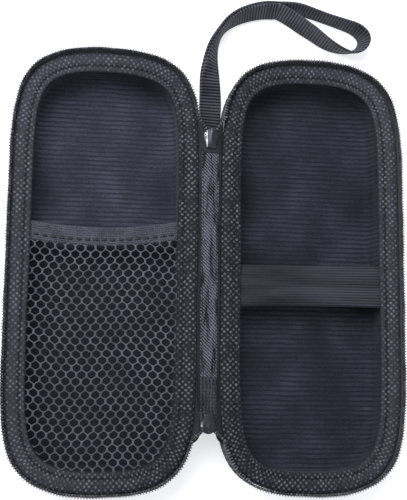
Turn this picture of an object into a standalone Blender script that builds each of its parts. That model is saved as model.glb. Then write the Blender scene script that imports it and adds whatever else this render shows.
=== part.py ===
"""Zip-around carry case of moulded foam, opened flat: two equal halves, a fold strip between them,
two zip sliders at the ends of the fold and a wrist strap sewn under the upper one.

X runs across the open case, Y along its length and Z up from the table. Metres throughout."""

import math

import bmesh
import bpy
import numpy as np
from mathutils import Matrix

MM = 0.001

# Overall sizes
CASE_LENGTH = 190 * MM
HALF_WIDTH = 82 * MM
HALF_DEPTH = 22 * MM  # table to the fold plane
FOLD_WIDTH = 8 * MM  # between the two fold lines, and between the rims when shut
SIDE_POWER, END_POWER = 7.2, 2.6  # how square the outline is along its sides and at its ends
GAP = 0.3 * MM  # between pieces that touch

# Moulded wall, outside to inside
COVER = 1.0 * MM
FOAM = 4.5 * MM
LINING = 0.8 * MM
WALL_INSET = 1.1 * MM  # cover's face inside the outline, leaving room for the zip tape
DRAFT = 1.3 * MM  # lean of the wall
BOTTOM_ROUND = 11 * MM
BINDING_HEIGHT = 2.4 * MM
BINDING_OVERHANG = 1.8 * MM  # how far the binding passes the lining

# Zip
TAPE = 0.7 * MM
TAPE_HEIGHT = 11.6 * MM
COIL = 1.4 * MM
COIL_HEIGHT = 1.5 * MM
SLIDER_LENGTH = 8.6 * MM
SLIDER_WIDTH = 6.6 * MM
SLIDER_PLATE = 1.0 * MM
SLIDER_CHANNEL = 2.0 * MM
SLIDE = 7 * MM  # straight run of each slider before the corner
PULL_LENGTH = 13 * MM
PULL_WIDTH = 4.8 * MM

# Fold strip
UPPER_END, LOWER_END = 52.6 * MM, -47.3 * MM  # ends of the woven fold strip
LOWER_ZIP_END = 13.2 * MM  # knitted tape shown between the strip and the lower slider

# Inside fittings
POCKET_MOUTH, POCKET_SAG, HEM = 19.5 * MM, 2.9 * MM, 8 * MM
BAND_CENTRE, BAND_WIDTH = -5.7 * MM, 18.2 * MM
WEB = 0.6 * MM

# Wrist strap
STRAP_WIDTH, STRAP = 10 * MM, 1.2 * MM

RIM = HALF_DEPTH - BINDING_HEIGHT + 0.2 * MM - GAP  # top edge of the moulded wall
HALF_CENTRE = FOLD_WIDTH / 2 + HALF_WIDTH / 2
CHANNEL = HALF_DEPTH + COIL / 2  # level of the coils' centre in the sliders
LINING_INSET = WALL_INSET + COVER + FOAM + LINING + 2 * GAP
UNDER_BINDING = RIM - GAP / 2  # top of what is sewn under the binding
ROUND = 56

for old in list(bpy.data.objects):
    bpy.data.objects.remove(old, do_unlink=True)


def material(name, colour, roughness, metallic=0.0):
    made = bpy.data.materials.new(name)
    made.use_nodes = True
    shader = made.node_tree.nodes["Principled BSDF"]
    shader.inputs["Base Color"].default_value = (*colour, 1)
    shader.inputs["Roughness"].default_value = roughness
    shader.inputs["Metallic"].default_value = metallic
    made.diffuse_color = (*colour, 1)
    return made


def body(name, points, faces, colour, roughness=0.8, metallic=0.0, smooth=False):
    """A closed mesh object with its own material and its faces turned outward."""
    mesh = bpy.data.meshes.new(name)
    mesh.from_pydata([tuple(p) for p in points], [], faces)
    made = bmesh.new()
    made.from_mesh(mesh)
    bmesh.ops.recalc_face_normals(made, faces=made.faces)
    made.to_mesh(mesh)
    made.free()
    obj = bpy.data.objects.new(name, mesh)
    bpy.context.scene.collection.objects.link(obj)
    mesh.materials.append(material(name, colour, roughness, metallic))
    if smooth:
        mesh.shade_smooth()
    return obj


def set_origin(names, place):
    """Moves these objects' origins onto their joint axis without moving their shapes."""
    for name in names:
        obj = bpy.data.objects[name]
        obj.data.transform(Matrix.Translation([-value for value in place]))
        obj.location = place


def outline(count, y_top=None, y_bottom=None):
    """Points of the half's outline about its own centre with the fold side at +X, and inward normals.

    With both ends given, the run goes from the fold side over the top, the outer side and the bottom
    back to the fold side; otherwise it is closed. Points lie closer together on the corners."""
    a, b = HALF_WIDTH / 2, CASE_LENGTH / 2
    turn = np.linspace(0, 2 * math.pi, 8001)
    c, s = np.cos(turn), np.sin(turn)
    x = a * np.sign(c) * np.abs(c) ** (2 / END_POWER)
    y = b * np.sign(s) * np.abs(s) ** (2 / SIDE_POWER)
    grad = np.stack(
        [
            np.sign(x) * END_POWER * np.abs(x / a) ** (END_POWER - 1) / a,
            np.sign(y) * SIDE_POWER * np.abs(y / b) ** (SIDE_POWER - 1) / b,
        ],
        1,
    )
    normal = -grad / np.linalg.norm(grad, axis=1, keepdims=True)
    points = np.stack([x, y], 1)
    step = np.linalg.norm(np.diff(points, axis=0), axis=1)
    bend = np.linalg.norm(np.diff(normal, axis=0), axis=1)
    along = np.concatenate([[0], np.cumsum(step + 0.045 * bend)])
    if y_top is None:
        wanted = np.linspace(0, along[-1], count, endpoint=False)
    else:
        fold_side = x > 0
        first = along[fold_side & (y > 0)][np.argmin(np.abs(y[fold_side & (y > 0)] - y_top))]
        last = along[fold_side & (y < 0)][np.argmin(np.abs(y[fold_side & (y < 0)] - y_bottom))]
        wanted = np.linspace(first, last, count)
    at = np.stack([np.interp(wanted, along, points[:, i]) for i in (0, 1)], 1)
    inward = np.stack([np.interp(wanted, along, normal[:, i]) for i in (0, 1)], 1)
    return at, inward / np.linalg.norm(inward, axis=1, keepdims=True)


def placed(at, z, side):
    """Half's own plan point to world: side is -1 for the left half and 1 for the right one."""
    return (side * (HALF_CENTRE - at[0]), at[1], z)


def swept(section, side, y_top=None, y_bottom=None, count=ROUND):
    """Points and faces of a ring, or of an open run with closed ends, with this section (inset, height)."""
    at, inward = outline(count, y_top, y_bottom)
    points = [placed(p + n * inset, z, side) for p, n in zip(at, inward) for inset, z in section]
    size = len(section)
    steps = count if y_top is None else count - 1
    faces = []
    for i in range(steps):
        here, there = i * size, (i + 1) % count * size
        for j in range(size):
            k = (j + 1) % size
            faces.append((here + j, here + k, there + k, there + j))
    if y_top is not None:
        faces.append(tuple(range(size)))
        faces.append(tuple((count - 1) * size + j for j in reversed(range(size))))
    return points, faces


def wall_profile(distance):
    """The wall's line (inset, height) from rim to floor, moved this far into the case."""
    lean = math.atan2(DRAFT, RIM - BOTTOM_ROUND)
    radius = BOTTOM_ROUND - distance
    line = [(WALL_INSET + distance, RIM)]
    for k in range(5):
        turn = lean + (math.pi / 2 - lean) * k / 4
        line.append(
            (
                WALL_INSET + DRAFT + BOTTOM_ROUND - radius * math.cos(turn),
                BOTTOM_ROUND - radius * math.sin(turn),
            )
        )
    return line


def tray(name, side, near, far, colour, roughness):
    """One moulded layer: a tray whose faces lie this near and this far from the case's outside."""
    outer, inner = wall_profile(near), wall_profile(far)
    at, inward = outline(ROUND)
    size = len(outer)
    points, faces = [], []
    for line in (outer, inner):
        points += [placed(p + n * inset, z, side) for inset, z in line for p, n in zip(at, inward)]
    half = size * ROUND
    for base in (0, half):
        for row in range(size - 1):
            for i in range(ROUND):
                k = (i + 1) % ROUND
                here = base + row * ROUND
                faces.append((here + i, here + k, here + ROUND + k, here + ROUND + i))
        faces.append(tuple(base + (size - 1) * ROUND + i for i in range(ROUND)))
    for i in range(ROUND):
        k = (i + 1) % ROUND
        faces.append((i, k, half + k, half + i))
    return body(name, points, faces, colour, roughness, smooth=True)


def prism(name, polygon, low, high, colour, roughness=0.8, metallic=0.0):
    """A plate standing on this plan polygon between two heights."""
    count = len(polygon)
    points = [(x, y, z) for z in (low, high) for x, y in polygon]
    faces = [tuple(range(count)), tuple(range(count, 2 * count))]
    faces += [(i, (i + 1) % count, count + (i + 1) % count, count + i) for i in range(count)]
    return body(name, points, faces, colour, roughness, metallic)


def rounded(obj, width, segments=2, angle=40):
    bevel = obj.modifiers.new("rounded edges", "BEVEL")
    bevel.width, bevel.segments = width, segments
    bevel.limit_method, bevel.angle_limit = "ANGLE", math.radians(angle)


def joined(obj, others):
    """Makes the pieces one closed body."""
    for other in others:
        other.hide_render = True
        other.display_type = "WIRE"
        union = obj.modifiers.new("joined", "BOOLEAN")
        union.operation, union.solver, union.object = "UNION", "EXACT", other


def inside_span(inset, y_low, y_high, side, count=14):
    """Plan points of the half's inset outline between two Y values: outer-side run, then fold-side run."""
    at, inward = outline(720)
    ring = at + inward * inset
    runs = []
    for sign in (-1, 1):
        edge = ring[ring[:, 0] * sign > 0]
        edge = edge[np.argsort(edge[:, 1])]
        ys = np.linspace(y_low[sign] if isinstance(y_low, dict) else y_low, y_high, count)
        runs.append([(side * (HALF_CENTRE - np.interp(y, edge[:, 1], edge[:, 0])), y) for y in ys])
    return runs


# Moulded halves: cloth cover, foam core and ribbed lining, one tray inside the other
BLACK, NAVY, GREY = (0.012, 0.012, 0.015), (0.014, 0.015, 0.026), (0.06, 0.06, 0.075)
STEPS = [COVER, COVER + GAP, COVER + GAP + FOAM, COVER + 2 * GAP + FOAM, COVER + 2 * GAP + FOAM + LINING]
for side, word in ((-1, "left"), (1, "right")):
    tray(word + "_cover", side, 0, STEPS[0], BLACK, 0.85)
    tray(word + "_foam", side, STEPS[1], STEPS[2], (0.03, 0.03, 0.032), 0.95)
    tray(word + "_lining", side, STEPS[3], STEPS[4], NAVY, 0.8)

    # Knitted binding rolled over the raw rim, hanging a little way over the lining
    start, end = WALL_INSET + 0.1 * MM, LINING_INSET + BINDING_OVERHANG
    low, high = RIM + GAP, RIM + GAP + BINDING_HEIGHT
    third = (end - start) / 6
    section = [
        (start, low),
        (start, high - 1.0 * MM),
        (start + third, high - 0.25 * MM),
        (start + 2.5 * third, high),
        (start + 4.5 * third, high - 0.5 * MM),
        (end, high - 1.5 * MM),
        (end, low),
    ]
    points, faces = swept(section, side)
    body(word + "_binding", points, faces, BLACK, 0.9, smooth=True)

    # Zip tape standing round three sides with the coil on its free edge
    top_start = UPPER_END + GAP + SLIDER_LENGTH + SLIDE + 0.8 * MM
    low_start = LOWER_END - LOWER_ZIP_END - GAP - SLIDER_LENGTH - SLIDE - 0.8 * MM
    coil_top = HALF_DEPTH + FOLD_WIDTH / 2 - GAP / 2
    tape_top = coil_top - COIL_HEIGHT - GAP
    inset = (COIL - TAPE) / 2 - 0.25 * MM
    section = [
        (inset, tape_top - TAPE_HEIGHT),
        (inset, tape_top),
        (inset + TAPE, tape_top),
        (inset + TAPE, tape_top - TAPE_HEIGHT),
    ]
    points, faces = swept(section, side, top_start, low_start, 50)
    body(word + "_tape", points, faces, BLACK, 0.85)
    section = [
        (0, coil_top - COIL_HEIGHT),
        (0, coil_top),
        (COIL, coil_top),
        (COIL, coil_top - COIL_HEIGHT),
    ]
    points, faces = swept(section, side, top_start, low_start, 50)
    body(word + "_coil", points, faces, (0.02, 0.02, 0.024), 0.45)

# Net pocket over the lower part of the left half, with its hem across the mouth
NET_INSET = LINING_INSET + 2 * GAP


def mouth(x, drop):
    """Y of the pocket's mouth at this X: highest at the walls, sagging between them."""
    across = (x + HALF_CENTRE) / (HALF_WIDTH / 2 - NET_INSET)
    return POCKET_MOUTH - POCKET_SAG * (1 - across * across) - drop


left_run, right_run = inside_span(NET_INSET, -CASE_LENGTH / 2 + NET_INSET, mouth(-HALF_CENTRE - HALF_WIDTH / 2 + NET_INSET, 0), -1, 24)
at, inward = outline(400)
ring = [(-(HALF_CENTRE - p[0] - n[0] * NET_INSET), p[1] + n[1] * NET_INSET) for p, n in zip(at, inward)]
wall_x = sorted(abs(p[0] + HALF_CENTRE) for p in ring if 0 < p[1] < POCKET_MOUTH)[-1]
across = np.linspace(-wall_x, wall_x, 15)
hem_top = [(-HALF_CENTRE + x, mouth(-HALF_CENTRE + x, 0)) for x in across]
hem_low = [(-HALF_CENTRE + x, mouth(-HALF_CENTRE + x, HEM)) for x in across]
prism("pocket_hem", hem_low + hem_top[::-1], UNDER_BINDING - 0.9 * MM, UNDER_BINDING, GREY)
edge = [(-HALF_CENTRE + x, mouth(-HALF_CENTRE + x, HEM + GAP)) for x in across]
lower = [p for p in ring if p[1] < edge[0][1] - 2 * MM]
lower.sort(key=lambda p: math.atan2(p[0] + HALF_CENTRE, -p[1]))
prism("pocket_net", edge + lower[::-1][::4], UNDER_BINDING - WEB, UNDER_BINDING, GREY)

# Elastic band across the right half
band_y = np.linspace(BAND_CENTRE - BAND_WIDTH / 2, BAND_CENTRE + BAND_WIDTH / 2, 4)
outer_run, inner_run = inside_span(NET_INSET, float(band_y[0]), float(band_y[-1]), 1, 4)
prism("elastic_band", outer_run + inner_run[::-1], UNDER_BINDING - 1.0 * MM, UNDER_BINDING, GREY)

# Fold strip: cloth outside, twill inside
top = HALF_DEPTH + 0.1 * MM
cover_edge = FOLD_WIDTH / 2 + WALL_INSET - GAP
lower_reach = LOWER_END - LOWER_ZIP_END
strip_edge = FOLD_WIDTH / 2 - GAP
cloth = [(-cover_edge, lower_reach), (cover_edge, lower_reach), (cover_edge, UPPER_END - GAP), (-cover_edge, UPPER_END - GAP)]
prism("spine_cover", cloth, top - 0.5 * MM - GAP - 1.2 * MM, top - 0.5 * MM - GAP, BLACK)
twill = [(-strip_edge, LOWER_END), (strip_edge, LOWER_END), (strip_edge, UPPER_END), (-strip_edge, UPPER_END)]
prism("spine_strip", twill, top - 0.5 * MM, top, GREY)

# Ends of the zip tapes: one flat fork at each end of the fold, passing through the slider
SLOT = 1.1 * MM
PULL_CENTRES = {}
for word, root, way in (("upper", UPPER_END, 1), ("lower", LOWER_END, -1)):
    rest = UPPER_END + GAP if way > 0 else -lower_reach + GAP
    begin, split, finish = abs(root) - 1.5 * MM, rest + 3.4 * MM, rest + SLIDER_LENGTH + SLIDE
    fork = [
        (-strip_edge, begin), (strip_edge, begin), (strip_edge, finish), (strip_edge - 1.6 * MM, finish),
        (SLOT, split + 2 * MM), (SLOT, split), (-SLOT, split), (-SLOT, split + 2 * MM),
        (-strip_edge + 1.6 * MM, finish), (-strip_edge, finish),
    ]
    fork = [(x, y * way) for x, y in fork]
    prism(word + "_zip_end", fork, CHANNEL - WEB / 2, CHANNEL + WEB / 2, BLACK)

    # Slider: two plates held apart by the post at the outward end, with flanges at the heel
    heel, nose = rest, rest + SLIDER_LENGTH
    side_x = SLIDER_WIDTH / 2
    plate = [
        (-0.62 * side_x, heel), (0.62 * side_x, heel), (side_x, heel + 2.4 * MM), (side_x, nose - 3.2 * MM),
        (0.7 * side_x, nose - 0.5 * MM), (0.25 * side_x, nose), (-0.25 * side_x, nose),
        (-0.7 * side_x, nose - 0.5 * MM), (-side_x, nose - 3.2 * MM), (-side_x, heel + 2.4 * MM),
    ]
    plate = [(x, y * way) for x, y in plate]
    half = SLIDER_CHANNEL / 2
    name = word + "_slider_body"
    steel = (0.05, 0.05, 0.055)
    low_plate = prism(name, plate, CHANNEL - half - SLIDER_PLATE, CHANNEL - half, steel, 0.4, 0.9)
    extra = [prism(name + "_plate", plate, CHANNEL + half, CHANNEL + half + SLIDER_PLATE, steel)]
    post = [(-0.7 * MM, nose - 3.0 * MM), (0, nose - 3.8 * MM), (0.7 * MM, nose - 3.0 * MM), (0.5 * MM, nose - 0.4 * MM), (-0.5 * MM, nose - 0.4 * MM)]
    lap = 0.3 * MM
    extra.append(prism(name + "_post", [(x, y * way) for x, y in post], CHANNEL - half - lap, CHANNEL + half + lap, steel))
    lip = half - WEB / 2 - GAP
    for x in (-1, 1):
        flange = [(x * (side_x - 0.8 * MM), heel + 2.4 * MM), (x * side_x, heel + 2.4 * MM),
                  (x * side_x, nose - 3.4 * MM), (x * (side_x - 0.8 * MM), nose - 3.4 * MM)]
        flange = [(px, py * way) for px, py in flange]
        extra.append(prism(f"{name}_low{x}", flange, CHANNEL - half - lap, CHANNEL - half + lip, steel))
        extra.append(prism(f"{name}_high{x}", flange, CHANNEL + half - lip, CHANNEL + half + lap, steel))
    joined(low_plate, extra)

    # Bridge on the outward face, and the pull whose crossbar hangs in it
    under = CHANNEL - half - SLIDER_PLATE - GAP
    centre = (heel + nose) / 2
    PULL_CENTRES[word], PULL_AXIS = centre * way, under - 0.85 * MM
    arch = [(-2.9, 0.0), (-2.9, -1.6), (-2.2, -2.4), (2.2, -2.4), (2.9, -1.6), (2.9, 0.0), (2.0, 0.0), (2.0, -1.3), (1.6, -1.6), (-1.6, -1.6), (-2.0, -1.3), (-2.0, 0.0)]
    points = [(x * 0.8 * MM, (centre + y * MM) * way, under + z * MM) for x in (-1, 1) for y, z in arch]
    count = len(arch)
    faces = [tuple(range(count)), tuple(range(count, 2 * count))]
    faces += [(i, (i + 1) % count, count + (i + 1) % count, count + i) for i in range(count)]
    body(word + "_bridge", points, faces, steel, 0.35, 0.9)

    bar, arm = 0.45 * MM, 1.25 * MM
    axis = (0.0, centre * way, PULL_AXIS)
    frame = [(-PULL_WIDTH / 2, 0.45), (PULL_WIDTH / 2, 0.45), (PULL_WIDTH / 2, -6.0), (PULL_WIDTH / 2 - 0.6 * MM, -12.4), (PULL_WIDTH / 2 - 1.4 * MM, -13.0), (-PULL_WIDTH / 2 + 1.4 * MM, -13.0), (-PULL_WIDTH / 2 + 0.6 * MM, -12.4), (-PULL_WIDTH / 2, -6.0)]
    scale = PULL_LENGTH / 13
    solid = [(x, axis[1] + t * bar, axis[2] + z * (scale if z < 0 else MM)) for t in (-1, 1) for x, z in frame]
    count = len(frame)
    faces = [tuple(range(count)), tuple(range(count, 2 * count))]
    faces += [(i, (i + 1) % count, count + (i + 1) % count, count + i) for i in range(count)]
    pull = body(word + "_pull", solid, faces, steel, 0.35, 0.9)
    hole = [(-arm, -0.45), (arm, -0.45), (arm, -3.6), (-arm, -3.6)]
    solid = [(x, axis[1] + t * 2 * bar, axis[2] + z * MM) for t in (-1, 1) for x, z in hole]
    faces = [(0, 1, 2, 3), (4, 5, 6, 7)] + [(i, (i + 1) % 4, 4 + (i + 1) % 4, 4 + i) for i in range(4)]
    cutter = body(word + "_pull_eye", solid, faces, steel)
    cutter.hide_render, cutter.display_type = True, "WIRE"
    cut = pull.modifiers.new("eye", "BOOLEAN")
    cut.operation, cut.solver, cut.object = "DIFFERENCE", "EXACT", cutter

# Wrist strap: one length of webbing folded into a loop, its two ends stacked under the fold strip
ANCHOR_LOW = top - 0.5 * MM - 2 * GAP - 1.2 * MM
ANCHOR_START, ANCHOR_LENGTH, ANCHOR = UPPER_END - 10.6 * MM, 7 * MM, 1.2 * MM
anchor = [(-cover_edge, ANCHOR_START), (cover_edge, ANCHOR_START)]
anchor += [(x, y + ANCHOR_LENGTH) for x, y in anchor[::-1]]
prism("strap_anchor", anchor, ANCHOR_LOW - ANCHOR, ANCHOR_LOW, BLACK)

# stem of both legs, then the loop: x, y, height of the lower edge's plane, roll in degrees
STEM = [
    (0, 44.0, 16.55, 0), (0, 47.5, 16.3, 0), (0, 50.6, 13.4, 0), (0, 53.2, 7.6, 0), (0.3, 56.4, 2.6, 0),
    (1.2, 61, 1.5, 0), (2.2, 68, 1.45, 0), (2.6, 76, 1.6, 0), (2.4, 83.5, 2.5, -12), (1.9, 91.7, 3.9, -30),
    (2.1, 98.4, 5.1, -52), (3.1, 104.9, 5.6, -68), (4.9, 109.8, 5.7, -80), (7.1, 113.7, 5.7, -86),
    (10.1, 117.2, 5.7, -82), (14.9, 120.6, 5.6, -75), (21.2, 123.3, 5.5, -70), (27.5, 124.8, 5.4, -67),
    (33.9, 125.1, 5.4, -67),
]
LEG = [
    (39.5, 126.2, 5.5, -72), (45.1, 126.0, 5.5, -80), (50.7, 124.6, 5.5, -85), (57.2, 122.7, 5.5, -86),
    (63.7, 120.9, 5.5, -84), (70.2, 118.9, 5.5, -79), (74.0, 116.2, 5.5, -74), (75.3, 113.1, 5.5, -71),
    (74.1, 109.8, 5.5, -70), (71.4, 107.6, 5.5, -71), (67.6, 106.9, 5.5, -75), (62, 108.2, 5.5, -88),
    (56.3, 110.9, 5.5, -100), (50.7, 114.7, 5.5, -108), (45.1, 118.2, 5.5, -112), (39.5, 121.8, 5.45, -113),
]


def smooth_run(controls, spacing):
    """Points along a soft curve through the controls, evenly spaced."""
    c = np.array(controls, float)
    c = np.vstack([2 * c[0] - c[1], c, 2 * c[-1] - c[-2]])
    fine = []
    for i in range(1, len(c) - 2):
        for u in np.linspace(0, 1, 24, endpoint=False):
            a, b, d, e = c[i - 1 : i + 3]
            fine.append(0.5 * (2 * b + (d - a) * u + (2 * a - 5 * b + 4 * d - e) * u**2 + (3 * b - a - 3 * d + e) * u**3))
    fine = np.array(fine + [c[-2]])
    along = np.concatenate([[0], np.cumsum(np.linalg.norm(np.diff(fine[:, :3], axis=0), axis=1))])
    wanted = np.linspace(0, along[-1], max(4, int(along[-1] / spacing)))
    return np.stack([np.interp(wanted, along, fine[:, i]) for i in range(4)], 1)


def frames(run):
    """Face normal and width direction of the webbing along a run."""
    tangent = np.gradient(run[:, :3], axis=0)
    tangent /= np.linalg.norm(tangent, axis=1, keepdims=True)
    left = np.cross([0, 0, 1], tangent)
    left /= np.linalg.norm(left, axis=1, keepdims=True)
    up = np.cross(tangent, left)
    roll = np.radians(run[:, 3])[:, None]
    return np.cos(roll) * up + np.sin(roll) * left, np.sin(roll) * up - np.cos(roll) * left


stem = smooth_run(STEM, 2.4)
face, _ = frames(stem)
half_pitch = (STRAP / MM + 0.35) / 2
lower_leg, upper_leg = stem.copy(), stem.copy()
lower_leg[:, :3] -= face * half_pitch
upper_leg[:, :3] += face * half_pitch
upper_leg = upper_leg[::-1]
upper_leg[:, 3] = -180 - upper_leg[:, 3]
whole = smooth_run(list(map(tuple, lower_leg)) + LEG + list(map(tuple, upper_leg)), 2.5)
face, width = frames(whole)
points = []
for p, n, w in zip(whole[:, :3] * MM, face, width):
    for a, b in ((-1, -1), (1, -1), (1, 1), (-1, 1)):
        points.append(p + w * a * STRAP_WIDTH / 2 * 0.98 + n * b * STRAP / 2)
count = len(whole)
faces = [(0, 1, 2, 3), tuple(4 * count - 4 + j for j in (3, 2, 1, 0))]
for i in range(count - 1):
    faces += [(4 * i + j, 4 * i + (j + 1) % 4, 4 * i + 4 + (j + 1) % 4, 4 * i + 4 + j) for j in range(4)]
body("wrist_strap", points, faces, BLACK, 0.85, smooth=False)

# Each moving piece has its origin on its joint's axis: the fold lines, the slider tracks and the pulls' bars
FOLD = FOLD_WIDTH / 2
strip = ["spine_cover", "spine_strip", "upper_zip_end", "lower_zip_end", "strap_anchor"]
set_origin(strip, (-FOLD, 0, HALF_DEPTH))
right = ["right_" + word for word in ("cover", "foam", "lining", "binding", "tape", "coil")]
set_origin(right + ["elastic_band"], (FOLD, 0, HALF_DEPTH))
for word, centre in PULL_CENTRES.items():
    set_origin([word + "_slider_body", word + "_bridge"], (0, centre, CHANNEL))
    set_origin([word + "_pull"], (0, centre, PULL_AXIS))
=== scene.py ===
import math

import bmesh
import bpy
import numpy as np
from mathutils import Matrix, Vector


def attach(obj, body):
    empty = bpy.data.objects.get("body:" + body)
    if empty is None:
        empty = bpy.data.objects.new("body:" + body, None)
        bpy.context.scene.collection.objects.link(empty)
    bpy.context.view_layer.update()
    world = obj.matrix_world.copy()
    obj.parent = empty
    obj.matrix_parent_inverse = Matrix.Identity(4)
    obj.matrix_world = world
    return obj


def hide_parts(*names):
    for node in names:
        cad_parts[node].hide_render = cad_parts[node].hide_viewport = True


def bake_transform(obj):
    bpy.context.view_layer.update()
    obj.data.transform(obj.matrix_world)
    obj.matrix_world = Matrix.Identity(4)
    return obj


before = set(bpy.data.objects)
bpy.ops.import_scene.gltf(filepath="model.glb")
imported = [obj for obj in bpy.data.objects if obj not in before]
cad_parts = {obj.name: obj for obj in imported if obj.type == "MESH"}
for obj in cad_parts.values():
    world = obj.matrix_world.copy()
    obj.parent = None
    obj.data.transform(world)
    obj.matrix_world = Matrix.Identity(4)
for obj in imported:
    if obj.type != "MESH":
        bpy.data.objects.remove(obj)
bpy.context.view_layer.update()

# Studio: a plain pale table under two soft lamps, with the camera held over the pocket half,
# close above the open case, and leaning a little back towards the fold.
MM = 0.001
scene = bpy.context.scene
scene.view_settings.view_transform = "Standard"
eye = bpy.data.objects.new("eye", bpy.data.cameras.new("eye"))
scene.collection.objects.link(eye)
eye.location = (-0.0639, -0.0521, 0.430)
eye.rotation_euler = [math.radians(turn) for turn in (8.22, -8.63, 0.68)]
eye.data.lens, eye.data.sensor_width = 972.9 * 36 / 500, 36
eye.data.clip_start, eye.data.clip_end = 0.01, 20
scene.camera = eye

scene.world = bpy.data.worlds.new("studio")
scene.world.use_nodes = True
backdrop = scene.world.node_tree.nodes["Background"]
backdrop.inputs["Color"].default_value = (0.86, 0.91, 1.0, 1)
backdrop.inputs["Strength"].default_value = 0.48
for name, place, size, power in (
    ("window", (-0.27, 0.30, 0.62), 0.60, 5.6),
    ("fill", (0.70, -0.40, 1.10), 1.0, 1.2),
):
    lamp = bpy.data.objects.new(name, bpy.data.lights.new(name, "AREA"))
    lamp.data.shape, lamp.data.size, lamp.data.energy = "DISK", size, power
    lamp.data.color = (0.92, 0.95, 1.0)
    lamp.location = place
    lamp.rotation_euler = (-Vector(place)).to_track_quat("-Z", "Y").to_euler()
    scene.collection.objects.link(lamp)


# Wrist strap: one length of black ribbed webbing, 10 mm wide, folded in two and turned on its edge
# at the end. Both ends are sewn under the fold strip. It lies on the table, free.
def smooth_run(controls, spacing):
    """Evenly spaced points on a soft curve through the controls, which may carry a roll angle too."""
    c = np.array(controls, float)
    c = np.vstack([2 * c[0] - c[1], c, 2 * c[-1] - c[-2]])
    fine = []
    for i in range(1, len(c) - 2):
        for u in np.linspace(0, 1, 24, endpoint=False):
            a, b, d, e = c[i - 1 : i + 3]
            cubic = (2 * a - 5 * b + 4 * d - e) * u**2 + (3 * b - a - 3 * d + e) * u**3
            fine.append(0.5 * (2 * b + (d - a) * u + cubic))
    fine = np.array(fine + [c[-2]])
    along = np.concatenate([[0], np.cumsum(np.linalg.norm(np.diff(fine[:, :3], axis=0), axis=1))])
    wanted = np.linspace(0, along[-1], max(4, int(along[-1] / spacing)))
    return np.stack([np.interp(wanted, along, fine[:, i]) for i in range(fine.shape[1])], 1)


def ribbon_frames(run):
    """Face normal, width direction and distance along a rolled ribbon."""
    tangent = np.gradient(run[:, :3], axis=0)
    tangent /= np.linalg.norm(tangent, axis=1, keepdims=True)
    left = np.cross([0, 0, 1], tangent)
    left /= np.linalg.norm(left, axis=1, keepdims=True)
    up = np.cross(tangent, left)
    roll = np.radians(run[:, 3])[:, None]
    along = np.concatenate([[0], np.cumsum(np.linalg.norm(np.diff(run[:, :3], axis=0), axis=1))])
    return np.cos(roll) * up + np.sin(roll) * left, np.sin(roll) * up - np.cos(roll) * left, along


def grid_piece(name, points, measure, finish, wrap_rows=False, wrap_columns=False, caps=False, flat=False):
    """A mesh on a grid of points in metres, with the cloth's own measure, also in metres, as its map."""
    rows, columns = points.shape[:2]
    i, j = np.meshgrid(
        np.arange(rows - 1 + wrap_rows), np.arange(columns - 1 + wrap_columns), indexing="ij"
    )
    i, j = i.ravel(), j.ravel()
    corners = [(i, j), (i, j + 1), (i + 1, j + 1), (i + 1, j)]
    faces = np.stack([(a % rows) * columns + b % columns for a, b in corners], 1).tolist()
    laid = np.stack([measure[a, b] for a, b in corners], 1).reshape(-1, 2)
    if caps:
        ends = [list(range(columns)), [(rows - 1) * columns + k for k in range(columns)][::-1]]
        faces += ends
        laid = np.vstack([laid, measure[0, :columns], measure[rows - 1, :columns][::-1]])
    mesh = bpy.data.meshes.new(name)
    mesh.from_pydata(points.reshape(-1, 3).tolist(), [], faces)
    mesh.uv_layers.new(name="cloth").data.foreach_set("uv", laid.ravel())
    tidy = bmesh.new()
    tidy.from_mesh(mesh)
    bmesh.ops.recalc_face_normals(tidy, faces=tidy.faces)
    tidy.to_mesh(mesh)
    tidy.free()
    if not flat:
        mesh.shade_smooth()
    mesh.materials.append(finish)
    obj = bpy.data.objects.new(name, mesh)
    scene.collection.objects.link(obj)
    return obj


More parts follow.
